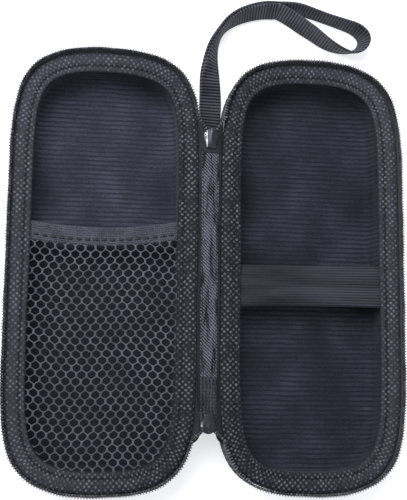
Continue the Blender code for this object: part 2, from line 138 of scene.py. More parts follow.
class Finish:
    """A surface built from maths on its own measure, in millimetres."""

    def __init__(self, name, specular=0.3, sheen=0.0, metallic=0.0, coat=0.0):
        self.material = bpy.data.materials.new(name)
        self.material.use_nodes = True
        self.tree = self.material.node_tree
        self.shader = self.tree.nodes["Principled BSDF"]
        self.shader.inputs["Specular IOR Level"].default_value = specular
        self.shader.inputs["Metallic"].default_value = metallic
        self.shader.inputs["Coat Weight"].default_value = coat
        self.shader.inputs["Sheen Weight"].default_value = sheen
        self.shader.inputs["Sheen Roughness"].default_value = 0.45
        self.normal = None

    def node(self, kind, values, **settings):
        made = self.tree.nodes.new(kind)
        for key, value in settings.items():
            setattr(made, key, value)
        for socket, value in values.items():
            self.put(value, made.inputs[socket])
        return made

    def put(self, value, socket):
        if isinstance(value, bpy.types.NodeSocket):
            self.tree.links.new(value, socket)
        else:
            socket.default_value = value

    def maths(self, operation, a, b=0.0, c=0.0):
        return self.node("ShaderNodeMath", {0: a, 1: b, 2: c}, operation=operation).outputs[0]

    def measure(self, mapped=True):
        """X, Y and Z in millimetres: along the cloth's own map, or in the object's space."""
        if mapped:
            source = self.node("ShaderNodeUVMap", {}, uv_map="cloth").outputs[0]
        else:
            source = self.node("ShaderNodeTexCoord", {}).outputs["Object"]
        scaled = self.node("ShaderNodeVectorMath", {0: source, 1: (1000, 1000, 1000)}, operation="MULTIPLY")
        self.place = scaled.outputs[0]
        apart = self.node("ShaderNodeSeparateXYZ", {0: self.place}).outputs
        return apart[0], apart[1], apart[2]

    def noise(self, size, detail=2.0, stretch=None):
        """Soft random field from 0 to 1 with features of this size in millimetres."""
        at = self.place
        if stretch:
            at = self.node("ShaderNodeVectorMath", {0: at, 1: stretch}, operation="MULTIPLY").outputs[0]
        values = {"Vector": at, "Scale": 1 / size, "Detail": detail}
        return self.node("ShaderNodeTexNoise", values).outputs[0]

    def wave(self, x, pitch, shift=0.0):
        turns = self.maths("MULTIPLY_ADD", x, 2 * math.pi / pitch, shift)
        return self.maths("MULTIPLY_ADD", self.maths("SINE", turns), 0.5, 0.5)

    def step(self, value, low, high, to_low=0.0, to_high=1.0):
        values = {0: value, 1: low, 2: high, 3: to_low, 4: to_high}
        return self.node("ShaderNodeMapRange", values, interpolation_type="SMOOTHSTEP").outputs[0]

    def mix(self, share, first, second):
        made = self.tree.nodes.new("ShaderNodeMix")
        made.data_type = "RGBA"
        for socket, value in ((0, share), (6, first), (7, second)):
            if isinstance(value, tuple) and len(value) == 3:
                value = (*value, 1)
            self.put(value, made.inputs[socket])
        return made.outputs[2]

    def relief(self, height, depth):
        """Raises the surface by this field, from nothing to this depth in millimetres."""
        values = {"Height": height, "Distance": depth * MM, "Strength": 1.0}
        if self.normal:
            values["Normal"] = self.normal
        self.normal = self.node("ShaderNodeBump", values).outputs[0]

    def done(self, colour, roughness):
        self.put(colour, self.shader.inputs["Base Color"])
        self.put(roughness, self.shader.inputs["Roughness"])
        if self.normal:
            self.put(self.normal, self.shader.inputs["Normal"])
        return self.material


def webbing_finish():
    finish = Finish("webbing", specular=0.25, sheen=0.08)
    x, y, _ = finish.measure()
    rib = finish.wave(x, 1.4)
    warp = finish.wave(y, 0.55)
    fuzz = finish.noise(0.25, 3)
    worn = finish.noise(9.0, 3)
    height = finish.maths("MULTIPLY_ADD", warp, 0.35, rib)
    finish.relief(height, 0.09)
    finish.relief(fuzz, 0.05)
    thread = finish.maths("MULTIPLY_ADD", fuzz, 0.7, finish.maths("MULTIPLY", rib, 0.8))
    light = finish.maths("MULTIPLY", thread, finish.step(worn, 0.2, 0.8, 0.6, 1.15))
    colour = finish.mix(finish.step(light, 0.25, 1.15), (0.008, 0.008, 0.011), (0.108, 0.108, 0.135))
    return finish.done(colour, finish.step(fuzz, 0.2, 0.8, 0.62, 0.9))


STRAP, RIB = 1.05 * MM, 1.4 * MM
HALF_PITCH = 0.775  # half of the distance between the two legs' middles, in millimetres
stem_route = [
    (0, 44.0, 16.55, 0), (0, 47.5, 16.3, 0), (0, 50.6, 13.4, 0), (0, 53.2, 7.6, 0), (0.3, 56.4, 2.6, 0),
    (1.2, 61, 1.5, 0), (2.2, 68, 1.45, 0), (2.6, 76, 1.6, 0), (2.4, 83.5, 2.5, -12), (1.9, 91.7, 3.9, -30),
    (2.1, 98.4, 5.1, -52), (3.1, 104.9, 5.6, -68), (4.9, 109.8, 5.7, -80), (7.1, 113.7, 5.7, -86),
    (10.1, 117.2, 5.7, -82), (14.9, 120.6, 5.6, -75), (21.2, 123.3, 5.5, -70), (27.5, 124.8, 5.4, -67),
    (33.9, 125.1, 5.4, -67),
]
loop_route = [
    (39.5, 126.2, 5.5, -72), (45.1, 126.0, 5.5, -80), (50.7, 124.6, 5.5, -85), (57.2, 122.7, 5.5, -86),
    (63.7, 120.9, 5.5, -84), (70.2, 118.9, 5.5, -79), (74.0, 116.2, 5.5, -74), (75.3, 113.1, 5.5, -71),
    (74.1, 109.8, 5.5, -70), (71.4, 107.6, 5.5, -71), (67.6, 106.9, 5.5, -75), (62, 108.2, 5.5, -88),
    (56.3, 110.9, 5.5, -100), (50.7, 114.7, 5.5, -108), (45.1, 118.2, 5.5, -112), (39.5, 121.8, 5.45, -113),
]
stem = smooth_run(stem_route, 2.4)
face, _, _ = ribbon_frames(stem)
lower_leg, upper_leg = stem.copy(), stem.copy()
lower_leg[:, :3] -= face * HALF_PITCH
upper_leg[:, :3] += face * HALF_PITCH
upper_leg = upper_leg[::-1]
upper_leg[:, 3] = -180 - upper_leg[:, 3]
route = smooth_run(list(map(tuple, lower_leg)) + loop_route + list(map(tuple, upper_leg)), 0.35)
face, across, along = ribbon_frames(route)
section = [(-4.9, 0.22), (-4.75, 0.5), (-4.3, 0.58), (-3.9, 0.5), (-2, 0.5), (0, 0.5), (2, 0.5), (3.9, 0.5),
           (4.3, 0.58), (4.75, 0.5), (4.9, 0.22)]
section += [(w, -h) for w, h in section[::-1]]
rib = 0.09 * np.sin(2 * np.pi * along * MM / RIB)
points = np.zeros((len(route), len(section), 3))
measure = np.zeros((len(route), len(section) + 1, 2))
for k, (w, h) in enumerate(section):
    raised = h + np.sign(h) * rib * (abs(w) < 4.5)
    points[:, k] = route[:, :3] + across * w + face * (raised * STRAP / MM)[:, None]
    measure[:, k] = np.stack([along, np.full(len(along), w)], 1)
measure[:, -1] = measure[:, 0]
strap = grid_piece("strap_webbing", points * MM, measure * MM, webbing_finish(), wrap_columns=True,
                   caps=True)
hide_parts("wrist_strap")
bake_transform(strap)

# Table: pale, plain and a little rough. It is the ground under the case and no part of it, and it
# gives off a little light of its own, so that it stays white right round the case.
floor_finish = Finish("table_top", specular=0.2)
floor_finish.measure(mapped=False)
grain = floor_finish.noise(40, 2)
tone = floor_finish.mix(grain, (0.90, 0.90, 0.91), (0.93, 0.93, 0.93))
floor_finish.shader.inputs["Emission Color"].default_value = (1, 1, 1, 1)
floor_finish.shader.inputs["Emission Strength"].default_value = 0.58
corners = [(-9, -9, -3e-4), (9, -9, -3e-4), (9, 9, -3e-4), (-9, 9, -3e-4)]
table_mesh = bpy.data.meshes.new("table_top")
table_mesh.from_pydata(corners, [], [(0, 1, 2, 3)])
table_mesh.materials.append(floor_finish.done(tone, 0.6))
table_top = bpy.data.objects.new("table_top", table_mesh)
scene.collection.objects.link(table_top)

# Covers: the outside skins of the two moulded halves. Black woven polyester, laminated to the foam
# and pressed with it into a tray, so the weave runs over the rounded bottom edge.
HALF_WIDTH, CASE_LENGTH, HALF_DEPTH, FOLD_WIDTH = 82 * MM, 190 * MM, 22 * MM, 8 * MM
SIDE_POWER, END_POWER = 7.2, 2.6
HALF_CENTRE = (FOLD_WIDTH + HALF_WIDTH) / 2
GAP, COVER, FOAM, LINING = 0.3 * MM, 1.0 * MM, 4.5 * MM, 0.8 * MM
WALL_INSET, DRAFT, BOTTOM_ROUND = 1.1 * MM, 1.3 * MM, 11 * MM
RIM = HALF_DEPTH - 2.5 * MM
CORNERS_KEPT = 0.92  # share of a tray's blank left when its corners are cut round


def outline(count, y_top=None, y_bottom=None):
    """Points of a half's outline about its own centre with the fold side at +X, inward normals and
    distance along. With both ends given it runs from the fold side over the top and outer side."""
    a, b = HALF_WIDTH / 2, CASE_LENGTH / 2
    turn = np.linspace(0, 2 * math.pi, 16001)
    c, s = np.cos(turn), np.sin(turn)
    x = a * np.sign(c) * np.abs(c) ** (2 / END_POWER)
    y = b * np.sign(s) * np.abs(s) ** (2 / SIDE_POWER)
    slope_x = np.sign(x) * END_POWER * np.abs(x / a) ** (END_POWER - 1) / a
    slope_y = np.sign(y) * SIDE_POWER * np.abs(y / b) ** (SIDE_POWER - 1) / b
    normal = -np.stack([slope_x, slope_y], 1)
    normal /= np.linalg.norm(normal, axis=1, keepdims=True)
    edge = np.stack([x, y], 1)
    along = np.concatenate([[0], np.cumsum(np.linalg.norm(np.diff(edge, axis=0), axis=1))])
    if y_top is None:
        wanted = np.linspace(0, along[-1], count, endpoint=False)
    else:
        upper, lower = (x > 0) & (y > 0), (x > 0) & (y < 0)
        first = along[upper][np.argmin(np.abs(y[upper] - y_top))]
        last = along[lower][np.argmin(np.abs(y[lower] - y_bottom))]
        wanted = np.linspace(first, last, count)
    at = np.stack([np.interp(wanted, along, edge[:, k]) for k in (0, 1)], 1)
    inward = np.stack([np.interp(wanted, along, normal[:, k]) for k in (0, 1)], 1)
    return at, inward / np.linalg.norm(inward, axis=1, keepdims=True), wanted, along[-1]


def to_world(at, z, side):
    """Half's own plan points to the open case: side is -1 for the left half and 1 for the right."""
    return np.stack([side * (HALF_CENTRE - at[..., 0]), at[..., 1], np.broadcast_to(z, at[..., 1].shape)],
                    -1)


def wall_line(distance, turns):
    """The moulded wall's line (inset, height) from rim to floor, this far inside the case's outside."""
    lean = math.atan2(DRAFT, RIM - BOTTOM_ROUND)
    bend = lean + (math.pi / 2 - lean) * np.linspace(0, 1, turns)
    radius = BOTTOM_ROUND - distance
    inset = WALL_INSET + DRAFT + BOTTOM_ROUND - radius * np.cos(bend)
    height = BOTTOM_ROUND - radius * np.sin(bend)
    top = np.linspace(0, 1, 6)[:-1]
    start = WALL_INSET + distance
    inset = np.concatenate([start + (inset[0] - start) * top, inset])
    return inset, np.concatenate([RIM + (height[0] - RIM) * top, height])


def moulded_tray(name, side, near, far, finish, count=176, turns=9, floor_rings=7, crumple=0.0):
    """A tray between two distances from the outside, measured as flat cloth pressed into the mould."""
    at, inward, _, _ = outline(count)
    layers, flats = [], []
    for distance, facing in ((near, 1), (far, -1)):
        inset, height = wall_line(distance, turns)
        plan = at[None] + inward[None] * inset[:, None, None]
        drop = np.hypot(np.diff(inset), np.diff(height))
        left = np.concatenate([np.cumsum(drop[::-1])[::-1], [0]])
        unrolled = plan[-1][None] - inward[None] * left[:, None, None]
        if crumple:
            corner = np.clip(np.abs(inward[:, 0] * inward[:, 1]) * 2.4, 0, 1) ** 2
            fold = np.sin(np.arctan2(inward[:, 1], np.abs(inward[:, 0])) * 34) * corner
            depth = np.sin(np.clip(np.linspace(0.1, 1.15, len(inset)), 0, 1) * math.pi) * crumple
            plan = plan + inward[None] * (fold[None] * depth[:, None])[..., None] * (facing < 0)
        height = np.broadcast_to(height[:, None], plan.shape[:2])
        shrink = np.linspace(1, 0.04, floor_rings + 1)[1:]
        floor = plan[-1][None] * shrink[:, None, None]
        plan, unrolled = np.concatenate([plan, floor]), np.concatenate([unrolled, floor])
        height = np.concatenate([height, np.full(floor.shape[:2], height[-1, 0])])
        layers.append(np.concatenate([plan, height[..., None]], -1))
        flats.append(unrolled)
    rows = np.concatenate([layers[0][::-1], layers[1]])
    flat = np.concatenate([flats[0][::-1], flats[1]])
    points = to_world(rows[..., :2], rows[..., 2], side)
    flat = np.concatenate([flat, flat[:, :1]], 1)
    return grid_piece(name, points, flat, finish, wrap_columns=True, caps=True)


def cover_cloth_finish():
    finish = Finish("cover_cloth", specular=0.25, sheen=0.08)
    x, y, _ = finish.measure()
    over = finish.wave(finish.maths("ADD", x, y), 0.62)
    under = finish.wave(finish.maths("SUBTRACT", x, y), 0.62)
    weave = finish.maths("MAXIMUM", over, under)
    slub = finish.noise(1.2, 3, (0.25, 1, 1))
    lint = finish.noise(0.4, 2)
    patch = finish.noise(30, 3)
    finish.relief(weave, 0.10)
    finish.relief(slub, 0.05)
    light = finish.maths("MULTIPLY", finish.maths("MULTIPLY_ADD", lint, 0.6,
                                                  finish.maths("MULTIPLY", weave, 0.5)), patch)
    colour = finish.mix(finish.step(light, 0.1, 0.75), (0.006, 0.006, 0.008), (0.05, 0.05, 0.06))
    return finish.done(colour, finish.step(slub, 0.2, 0.8, 0.6, 0.85))


def tray_blank(distance):
    """Width, length and area of the flat cloth that is pressed into a tray this far inside the case."""
    wall = RIM - BOTTOM_ROUND + (BOTTOM_ROUND - distance) * math.pi / 2
    grow = wall - (WALL_INSET + DRAFT + BOTTOM_ROUND)
    width, length = HALF_WIDTH + 2 * grow, CASE_LENGTH + 2 * grow
    return (width, length), CORNERS_KEPT * width * length


cover_cloth = cover_cloth_finish()
for side, word in ((-1, "left"), (1, "right")):
    cover = moulded_tray(word + "_cover_cloth", side, 0, COVER, cover_cloth)
    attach(cover, word + "_half")
    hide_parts(word + "_cover")
    size, area = tray_blank(COVER / 2)

# Foam cores: closed-cell foam, heated and pressed to the tray's shape. They hold the walls stiff and
# stay between cover and lining, so the part's own solids keep their shape here.
foam_finish = Finish("moulded_foam", specular=0.2)
foam_finish.measure(mapped=False)
cells = foam_finish.noise(0.35, 2)
foam_finish.relief(cells, 0.12)
foam_tone = foam_finish.mix(cells, (0.02, 0.02, 0.022), (0.05, 0.05, 0.055))
foam = foam_finish.done(foam_tone, foam_finish.step(cells, 0.2, 0.8, 0.75, 0.95))
for word in ("left", "right"):
    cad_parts[word + "_foam"].data.materials.clear()
    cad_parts[word + "_foam"].data.materials.append(foam)


# Linings: dark navy knit with ribs across the case, laminated to the foam. The ribs run on up the
# walls, and the cloth puckers a little where it is pressed into the corners.
def lining_finish(name, low, high, pocket=False):
    finish = Finish(name, specular=0.2, sheen=0.1)
    x, y, _ = finish.measure()
    drift = finish.noise(14, 2)
    row = finish.maths("MULTIPLY_ADD", drift, 1.3, y)
    rib = finish.step(finish.wave(row, 2.08), 0.0, 0.7)
    loops = finish.noise(0.8, 2, (0.6, 1, 1))
    grain = finish.noise(0.45, 2)
    broken = finish.noise(3.0, 3, (0.35, 1.3, 1))
    pressed = finish.step(finish.noise(26, 2), 0.3, 0.7, 0.35, 1.0)
    patch = finish.noise(22, 3)
    finish.relief(finish.maths("MULTIPLY", rib, pressed), 0.05)
    finish.relief(loops, 0.20)
    finish.relief(grain, 0.10)
    ribbed = finish.maths("MULTIPLY", finish.maths("MULTIPLY", rib, broken), pressed)
    light = finish.maths("MULTIPLY_ADD", ribbed, 0.50, finish.maths("MULTIPLY", loops, 0.42))
    light = finish.maths("MULTIPLY_ADD", grain, 0.42, light)
    light = finish.maths("MULTIPLY", light, finish.step(patch, 0.25, 0.75, 0.82, 1.12))
    light = finish.step(light, 0.25, 0.90)
    # Painted shade: under the pocket net the lining's colour is darkened, standing in for the net's shadow.
    if pocket:
        light = finish.maths("MULTIPLY", light, finish.step(y, 6, 14, 0.12, 1.0))
    colour = finish.mix(light, low, high)
    return finish.done(colour, finish.step(loops, 0.2, 0.8, 0.75, 0.95))


# Painted shade: the right lining is a darker copy of the left, standing in for less light on the right
# half.
linings = {
    "left": lining_finish("lining_left", (0.013, 0.013, 0.020), (0.070, 0.072, 0.102), pocket=True),
    "right": lining_finish("lining_right", (0.007, 0.008, 0.013), (0.046, 0.050, 0.069)),
}
LINING_START = COVER + FOAM + 2 * GAP
for side, word in ((-1, "left"), (1, "right")):
    lining = moulded_tray(word + "_lining_cloth", side, LINING_START, LINING_START + LINING, linings[word],
                          220, 11, 9, 0.25 * MM)
    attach(lining, word + "_half")
    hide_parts(word + "_lining")
    size, area = tray_blank(LINING_START + LINING / 2)


# Bindings: a soft knitted tape with light dots, rolled over the raw rim of cover, foam and lining,
# stitched down along its inner edge, so that it swells outside the stitches and lies flat inside.
def binding_finish():
    finish = Finish("binding_knit", specular=0.2, sheen=0.08)
    x, y, _ = finish.measure()
    drift = finish.noise(9, 2)
    u = finish.maths("DIVIDE", finish.maths("MULTIPLY_ADD", drift, 1.2, x), 2.5)
    v = finish.maths("DIVIDE", y, 2.74)
    lattice = finish.node("ShaderNodeCombineXYZ", {0: finish.maths("ADD", u, v),
                                                   1: finish.maths("SUBTRACT", u, v)})
    values = {"Vector": lattice.outputs[0], "Scale": 1.0, "Randomness": 0.22}
    away = finish.node("ShaderNodeTexVoronoi", values, voronoi_dimensions="2D").outputs["Distance"]
    dot = finish.maths("MULTIPLY", finish.step(away, 0.08, 0.42, 1.0, 0.0),
                       finish.step(y, 9.4, 11.6, 1.0, 0.45))
    bright = finish.noise(4.0, 3)
    knit = finish.noise(0.55, 3)
    finish.relief(dot, 0.14)
    finish.relief(knit, 0.16)
    # Painted light and shade: the binding's colour is lighter towards the top and the outer sides, more on
    # the left, and darker next to the fold.
    across, up, _ = finish.measure(mapped=False)
    painted_light = finish.step(finish.maths("ABSOLUTE", finish.maths("SUBTRACT", across, 8.0)), 9, 92)
    painted_light = finish.maths("MULTIPLY_ADD", finish.step(up, 40, 95), 0.45,
                          finish.maths("MULTIPLY", painted_light, 0.75))
    shade_tone = finish.mix(knit, (0.001, 0.001, 0.002), (0.022, 0.022, 0.029))
    lit_tone = finish.mix(knit, (0.008, 0.008, 0.011), (0.074, 0.075, 0.092))
    # Painted shade: a dark line along the crease at the inner stitches.
    crease_shade = finish.step(finish.maths("ABSOLUTE", finish.maths("SUBTRACT", y, 8.9)), 0.35, 1.0, 0.72, 0.0)
    ground = finish.mix(crease_shade, finish.mix(painted_light, shade_tone, lit_tone), (0.001, 0.001, 0.002))
    shine = finish.maths("MULTIPLY", dot, finish.step(bright, 0.3, 0.7, 0.05, 1.0))
    colour = finish.mix(shine, ground, (0.18, 0.18, 0.21))
    return finish.done(colour, finish.step(knit, 0.2, 0.8, 0.6, 0.9))


def swept_ring(name, side, section, finish, count=460, ends=None, lift=None):
    """A closed section (inset, height) carried round the half's outline, or along a part of it."""
    at, inward, along, total = outline(count, *(ends or (None, None)))
    section = np.array(section)
    inset = np.broadcast_to(section[:, 0], (count, len(section))).copy()
    height = np.broadcast_to(section[:, 1], (count, len(section))).copy()
    if lift:
        inset, height = lift(along, inset, height)
    plan = at[:, None] + inward[:, None] * inset[..., None]
    points = to_world(plan, height, side)
    around = np.vstack([section, section[:1]])
    around = np.concatenate([[0], np.cumsum(np.linalg.norm(np.diff(around, axis=0), axis=1))])
    rows = along if ends else np.append(along, total)
    measure = np.stack(np.broadcast_arrays(rows[:, None], around[None]), -1)
    return grid_piece(name, points, measure, finish, wrap_rows=not ends, wrap_columns=True, caps=bool(ends))


INNER_STITCH = 7.3 * MM
PUCKER = 3.1 * MM  # from stitch to stitch along the binding
binding_section = [
    (2.2, 19.86), (1.35, 19.95), (1.15, 20.5), (1.2, 21.2), (1.55, 21.8), (2.2, 22.1), (3.2, 22.25),
    (4.4, 22.22),
    (5.5, 22.0), (6.3, 21.65), (6.9, 21.3), (7.3, 21.05), (7.7, 21.18), (8.3, 21.3), (9.0, 21.2),
    (9.5, 20.9),
    (9.8, 20.4), (9.72, 19.95), (9.2, 19.86), (5.7, 19.84),
]
binding_section = [(a * MM, b * MM) for a, b in binding_section]


def puckers(along, inset, height):
    """The binding dips between its stitches and swells unevenly round the rim."""
    over = np.clip((height - 20.6 * MM) / (1.6 * MM), 0, 1)
    near_stitch = np.exp(-(((inset - INNER_STITCH) / (1.3 * MM)) ** 2))
    pull = np.cos(2 * np.pi * along[:, None] / PUCKER)
    slow = np.sin(along[:, None] / (17 * MM) + 1.3) + 0.6 * np.sin(along[:, None] / (7.3 * MM))
    height = height + over * (near_stitch * pull * 0.10 * MM + slow * 0.10 * MM * (1 - near_stitch))
    edge = np.clip((inset - 8.2 * MM) / (1.4 * MM), 0, 1)
    inset = inset + edge * slow * 0.12 * MM
    return inset, height


binding_knit = binding_finish()
TAPE_WIDE, MIDDLE_INSET = 10.5 * MM, 5.5 * MM  # the knitted tape, and how far inside its middle runs
for side, word in ((-1, "left"), (1, "right")):
    binding = swept_ring(word + "_binding_knit", side, binding_section, binding_knit, lift=puckers)
    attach(binding, word + "_half")
    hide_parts(word + "_binding")
    outline(2)[3] - 2 * math.pi * MIDDLE_INSET


# Rim stitches: black bonded thread, one row just inside the binding's swell and one round the zip
# tape outside, each through tape, wall and binding together.
def bead_row_tree():
    """Beads laid end to end along paths: stitches, or the turns of a zip coil."""
    tree = bpy.data.node_groups.new("bead_row", "GeometryNodeTree")
    named = tree.interface.new_socket
    named("Geometry", in_out="INPUT", socket_type="NodeSocketGeometry")
    for word in ("Pitch", "Length", "Width", "Height"):
        named(word, in_out="INPUT", socket_type="NodeSocketFloat")
    named("Material", in_out="INPUT", socket_type="NodeSocketMaterial")
    named("Geometry", in_out="OUTPUT", socket_type="NodeSocketGeometry")
    new, link = tree.nodes.new, tree.links.new
    given, out = new("NodeGroupInput"), new("NodeGroupOutput")
    paths, spaced = new("GeometryNodeMeshToCurve"), new("GeometryNodeResampleCurve")
    spaced.mode = "LENGTH"
    bead = new("GeometryNodeMeshUVSphere")
    bead.inputs["Segments"].default_value, bead.inputs["Rings"].default_value = 8, 6
    bead.inputs["Radius"].default_value = 0.5
    ahead, upward = new("FunctionNodeAlignRotationToVector"), new("FunctionNodeAlignRotationToVector")
    ahead.axis, upward.axis, upward.pivot_axis = "X", "Z", "X"
    size, up = new("ShaderNodeCombineXYZ"), new("GeometryNodeInputNamedAttribute")
    up.data_type = "FLOAT_VECTOR"
    up.inputs["Name"].default_value = "up"
    placed = new("GeometryNodeInstanceOnPoints")
    real, coat = new("GeometryNodeRealizeInstances"), new("GeometryNodeSetMaterial")
    link(given.outputs["Geometry"], paths.inputs["Mesh"])
    link(paths.outputs["Curve"], spaced.inputs["Curve"])
    link(given.outputs["Pitch"], spaced.inputs["Length"])
    link(new("GeometryNodeInputTangent").outputs[0], ahead.inputs["Vector"])
    link(ahead.outputs["Rotation"], upward.inputs["Rotation"])
    link(up.outputs["Attribute"], upward.inputs["Vector"])
    for index, word in enumerate(("Length", "Width", "Height")):
        link(given.outputs[word], size.inputs[index])
    link(spaced.outputs["Curve"], placed.inputs["Points"])
    link(bead.outputs["Mesh"], placed.inputs["Instance"])
    link(upward.outputs["Rotation"], placed.inputs["Rotation"])
    link(size.outputs[0], placed.inputs["Scale"])
    link(placed.outputs["Instances"], real.inputs["Geometry"])
    link(real.outputs["Geometry"], coat.inputs["Geometry"])
    link(given.outputs["Material"], coat.inputs["Material"])
    link(coat.outputs["Geometry"], out.inputs["Geometry"])
    return tree


def grown(name, paths, tree, material, ups=None, attributes=None, **sizes):
    """Runs a tree on paths, each a list of points in metres, and keeps the result as a plain mesh."""
    points = np.concatenate([np.asarray(path, float) for path in paths])
    edges, start = [], 0
    for path in paths:
        edges += [(start + k, start + k + 1) for k in range(len(path) - 1)]
        start += len(path)
    mesh = bpy.data.meshes.new(name + "_path")
    mesh.from_pydata(points.tolist(), edges, [])
    if ups is None:
        ups = [np.tile([0, 0, 1.0], (len(points), 1))]
    up = np.concatenate([np.asarray(u, float) for u in ups])
    mesh.attributes.new("up", "FLOAT_VECTOR", "POINT").data.foreach_set("vector", up.ravel())
    for word, values in (attributes or {}).items():
        mesh.attributes.new(word, "FLOAT", "POINT").data.foreach_set("value", values)
    host = bpy.data.objects.new(name + "_path", mesh)
    scene.collection.objects.link(host)
    modifier = host.modifiers.new("grown", "NODES")
    modifier.node_group = tree
    wanted = {**sizes, "Material": material}
    for item in tree.interface.items_tree:
        if item.item_type == "SOCKET" and item.in_out == "INPUT" and item.name in wanted:
            modifier[item.identifier] = wanted[item.name]
    result = bpy.data.meshes.new_from_object(host.evaluated_get(bpy.context.evaluated_depsgraph_get()))
    host.modifiers.remove(modifier)
    bpy.data.objects.remove(host)
    result.shade_smooth()
    obj = bpy.data.objects.new(name, result)
    scene.collection.objects.link(obj)
    return obj


def thread_finish():
    finish = Finish("thread", specular=0.4)
    finish.measure(mapped=False)
    twist = finish.noise(0.3, 2, (1, 1, 3))
    finish.relief(twist, 0.06)
    colour = finish.mix(twist, (0.004, 0.004, 0.005), (0.02, 0.02, 0.025))
    return finish.done(colour, finish.step(twist, 0.2, 0.8, 0.4, 0.65))


beads, thread = bead_row_tree(), thread_finish()
UPPER_START, LOWER_START = 66.5 * MM, -72.5 * MM
for side, word in ((-1, "left"), (1, "right")):
    at, inward, along, _ = outline(900)
    dip = 0.1 * np.cos(2 * np.pi * along / PUCKER) * MM
    inside = to_world(at + inward * INNER_STITCH, 21.12 * MM + dip, side)
    inside = np.vstack([inside, inside[:1]])
    at, inward, _, _ = outline(700, UPPER_START + 2 * MM, LOWER_START - 2 * MM)
    outside = [to_world(at + inward * 0.02 * MM, z * MM, side) for z in (14.2, 18.6)]
    level = np.tile([0, 0, 1.0], (len(inside), 1))
    outward = np.concatenate([-side * -inward[:, :1], -inward[:, 1:], np.zeros((len(inward), 1))], 1)
    rim_rows = grown(word + "_rim_stitches", [inside, *outside], beads, thread, [level, outward, outward],
                     Pitch=PUCKER, Length=2.7 * MM, Width=0.42 * MM, Height=0.34 * MM)
    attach(rim_rows, word + "_half")


# Zip tapes: woven polyester, 12 mm wide, sewn round three sides of each half with the free edge
# standing above the rim. It leans and ripples slightly between the stitches.
def tape_finish():
    finish = Finish("zip_tape", specular=0.25, sheen=0.15)
    x, y, _ = finish.measure()
    zigzag = finish.maths("ADD", x, finish.maths("MULTIPLY", finish.wave(y, 2.4), 1.1))
    bone = finish.wave(zigzag, 0.7)
    fuzz = finish.noise(0.4, 2)
    finish.relief(bone, 0.09)
    light = finish.maths("MULTIPLY_ADD", bone, 0.5, finish.maths("MULTIPLY", fuzz, 0.5))
    colour = finish.mix(finish.step(light, 0.2, 0.8), (0.006, 0.006, 0.008), (0.04, 0.04, 0.048))
    return finish.done(colour, finish.step(fuzz, 0.2, 0.8, 0.6, 0.85))


TAPE_LOW, TAPE_HIGH, TAPE_IN, TAPE_OUT = 12.5 * MM, 24.9 * MM, 0.1 * MM, 0.75 * MM
tape_section = [(TAPE_IN, TAPE_LOW + (TAPE_HIGH - TAPE_LOW) * k / 6) for k in range(7)]
tape_section += [(TAPE_OUT, z) for _, z in tape_section[::-1]]


def tape_wave(along):
    """How far the free edge wanders in and out along the rim, about one way and the other."""
    return np.sin(along / (5.3 * MM)) + 0.5 * np.sin(along / (2.1 * MM) + 1)


def ripple(along, inset, height):
    """The tape leans in above the rim, and its free edge wanders."""
    free = np.clip((height - RIM) / (TAPE_HIGH - RIM), 0, 1)
    return inset + free * (0.16 * MM + tape_wave(along[:, None]) * 0.12 * MM), height


zip_tape = tape_finish()
for side, word in ((-1, "left"), (1, "right")):
    tape = swept_ring(word + "_zip_tape", side, tape_section, zip_tape, 600, (UPPER_START, LOWER_START),
                      ripple)
    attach(tape, word + "_half")
    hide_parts(word + "_tape")
    tape_run = np.ptp(outline(2, UPPER_START, LOWER_START)[2])

# Zip coils: one nylon wire wound into a coil on each tape's free edge, 1.2 mm a turn, the turns
# standing across the tape, with the cord that sews them down running through.
coil_finish = Finish("zip_coil", specular=0.5)
coil_finish.measure(mapped=False)
# Painted highlight: light grey patches in the black coil's colour stand in for glints on the turns.
glint_patches = coil_finish.noise(1.6, 3)
coil_tone = coil_finish.mix(coil_finish.step(glint_patches, 0.35, 0.75), (0.02, 0.02, 0.025), (0.26, 0.26, 0.29))
zip_coil = coil_finish.done(coil_tone, coil_finish.step(glint_patches, 0.2, 0.8, 0.3, 0.5))
TURN, COIL_TOP = 1.2 * MM, 25.8 * MM
for side, word in ((-1, "left"), (1, "right")):
    at, inward, along, _ = outline(1500, UPPER_START, LOWER_START)
    lean = (0.55 + 0.12 * tape_wave(along)) * MM
    line = to_world(at + inward * lean[:, None], COIL_TOP - 0.72 * MM, side)
    coil = grown(word + "_zip_coil", [line], beads, zip_coil, Pitch=TURN, Length=0.66 * MM,
                 Width=1.95 * MM, Height=1.4 * MM)
    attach(coil, word + "_half")
    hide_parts(word + "_coil")

# Pocket net: a knitted polyester net over the lower part of the left half, hexagonal cells 4.3 mm
# apart, its cut edge caught under the binding and its top in the hem. It hangs slack and wavy.
CELL, ROW, JOINT = 4.25 * MM, 2.82 * MM, 0.68 * MM
MOUTH, MOUTH_SAG, HEM = 19.5 * MM, 2.9 * MM, 8.0 * MM
NET_LEVEL, NET_INSET = 19.05 * MM, 8.75 * MM
NET_HALF = HALF_WIDTH / 2 - NET_INSET


def mouth(x, drop):
    """Y of the pocket's mouth at this distance from the half's middle: it sags, a little to the left."""
    return MOUTH - MOUTH_SAG * (1 - (x / NET_HALF) ** 2) + (0.6 + 0.9 * x / NET_HALF) * MM - drop


def slack(x, y):
    """How far net and hem lie below their stitched level, with gentle folds."""
    middle = np.clip(1 - (x / NET_HALF) ** 2, 0, 1)
    ends = np.clip((y + CASE_LENGTH / 2 - NET_INSET) / (26 * MM), 0, 1)
    fold = 0.35 * np.sin(x / (3.9 * MM) + y / (31 * MM)) + 0.25 * np.sin(y / (7 * MM) - x / (12 * MM))
    return -(1.1 + fold) * middle**0.6 * ends**0.7 * MM


def in_net(x, y):
    """Whether a point of the net lies inside the walls and below the hem's lower edge."""
    a, b = NET_HALF, CASE_LENGTH / 2 - NET_INSET
    inside = abs(x / a) ** END_POWER + abs(y / b) ** SIDE_POWER <= 1.0
    return inside and y <= mouth(x, HEM - 0.8 * MM)


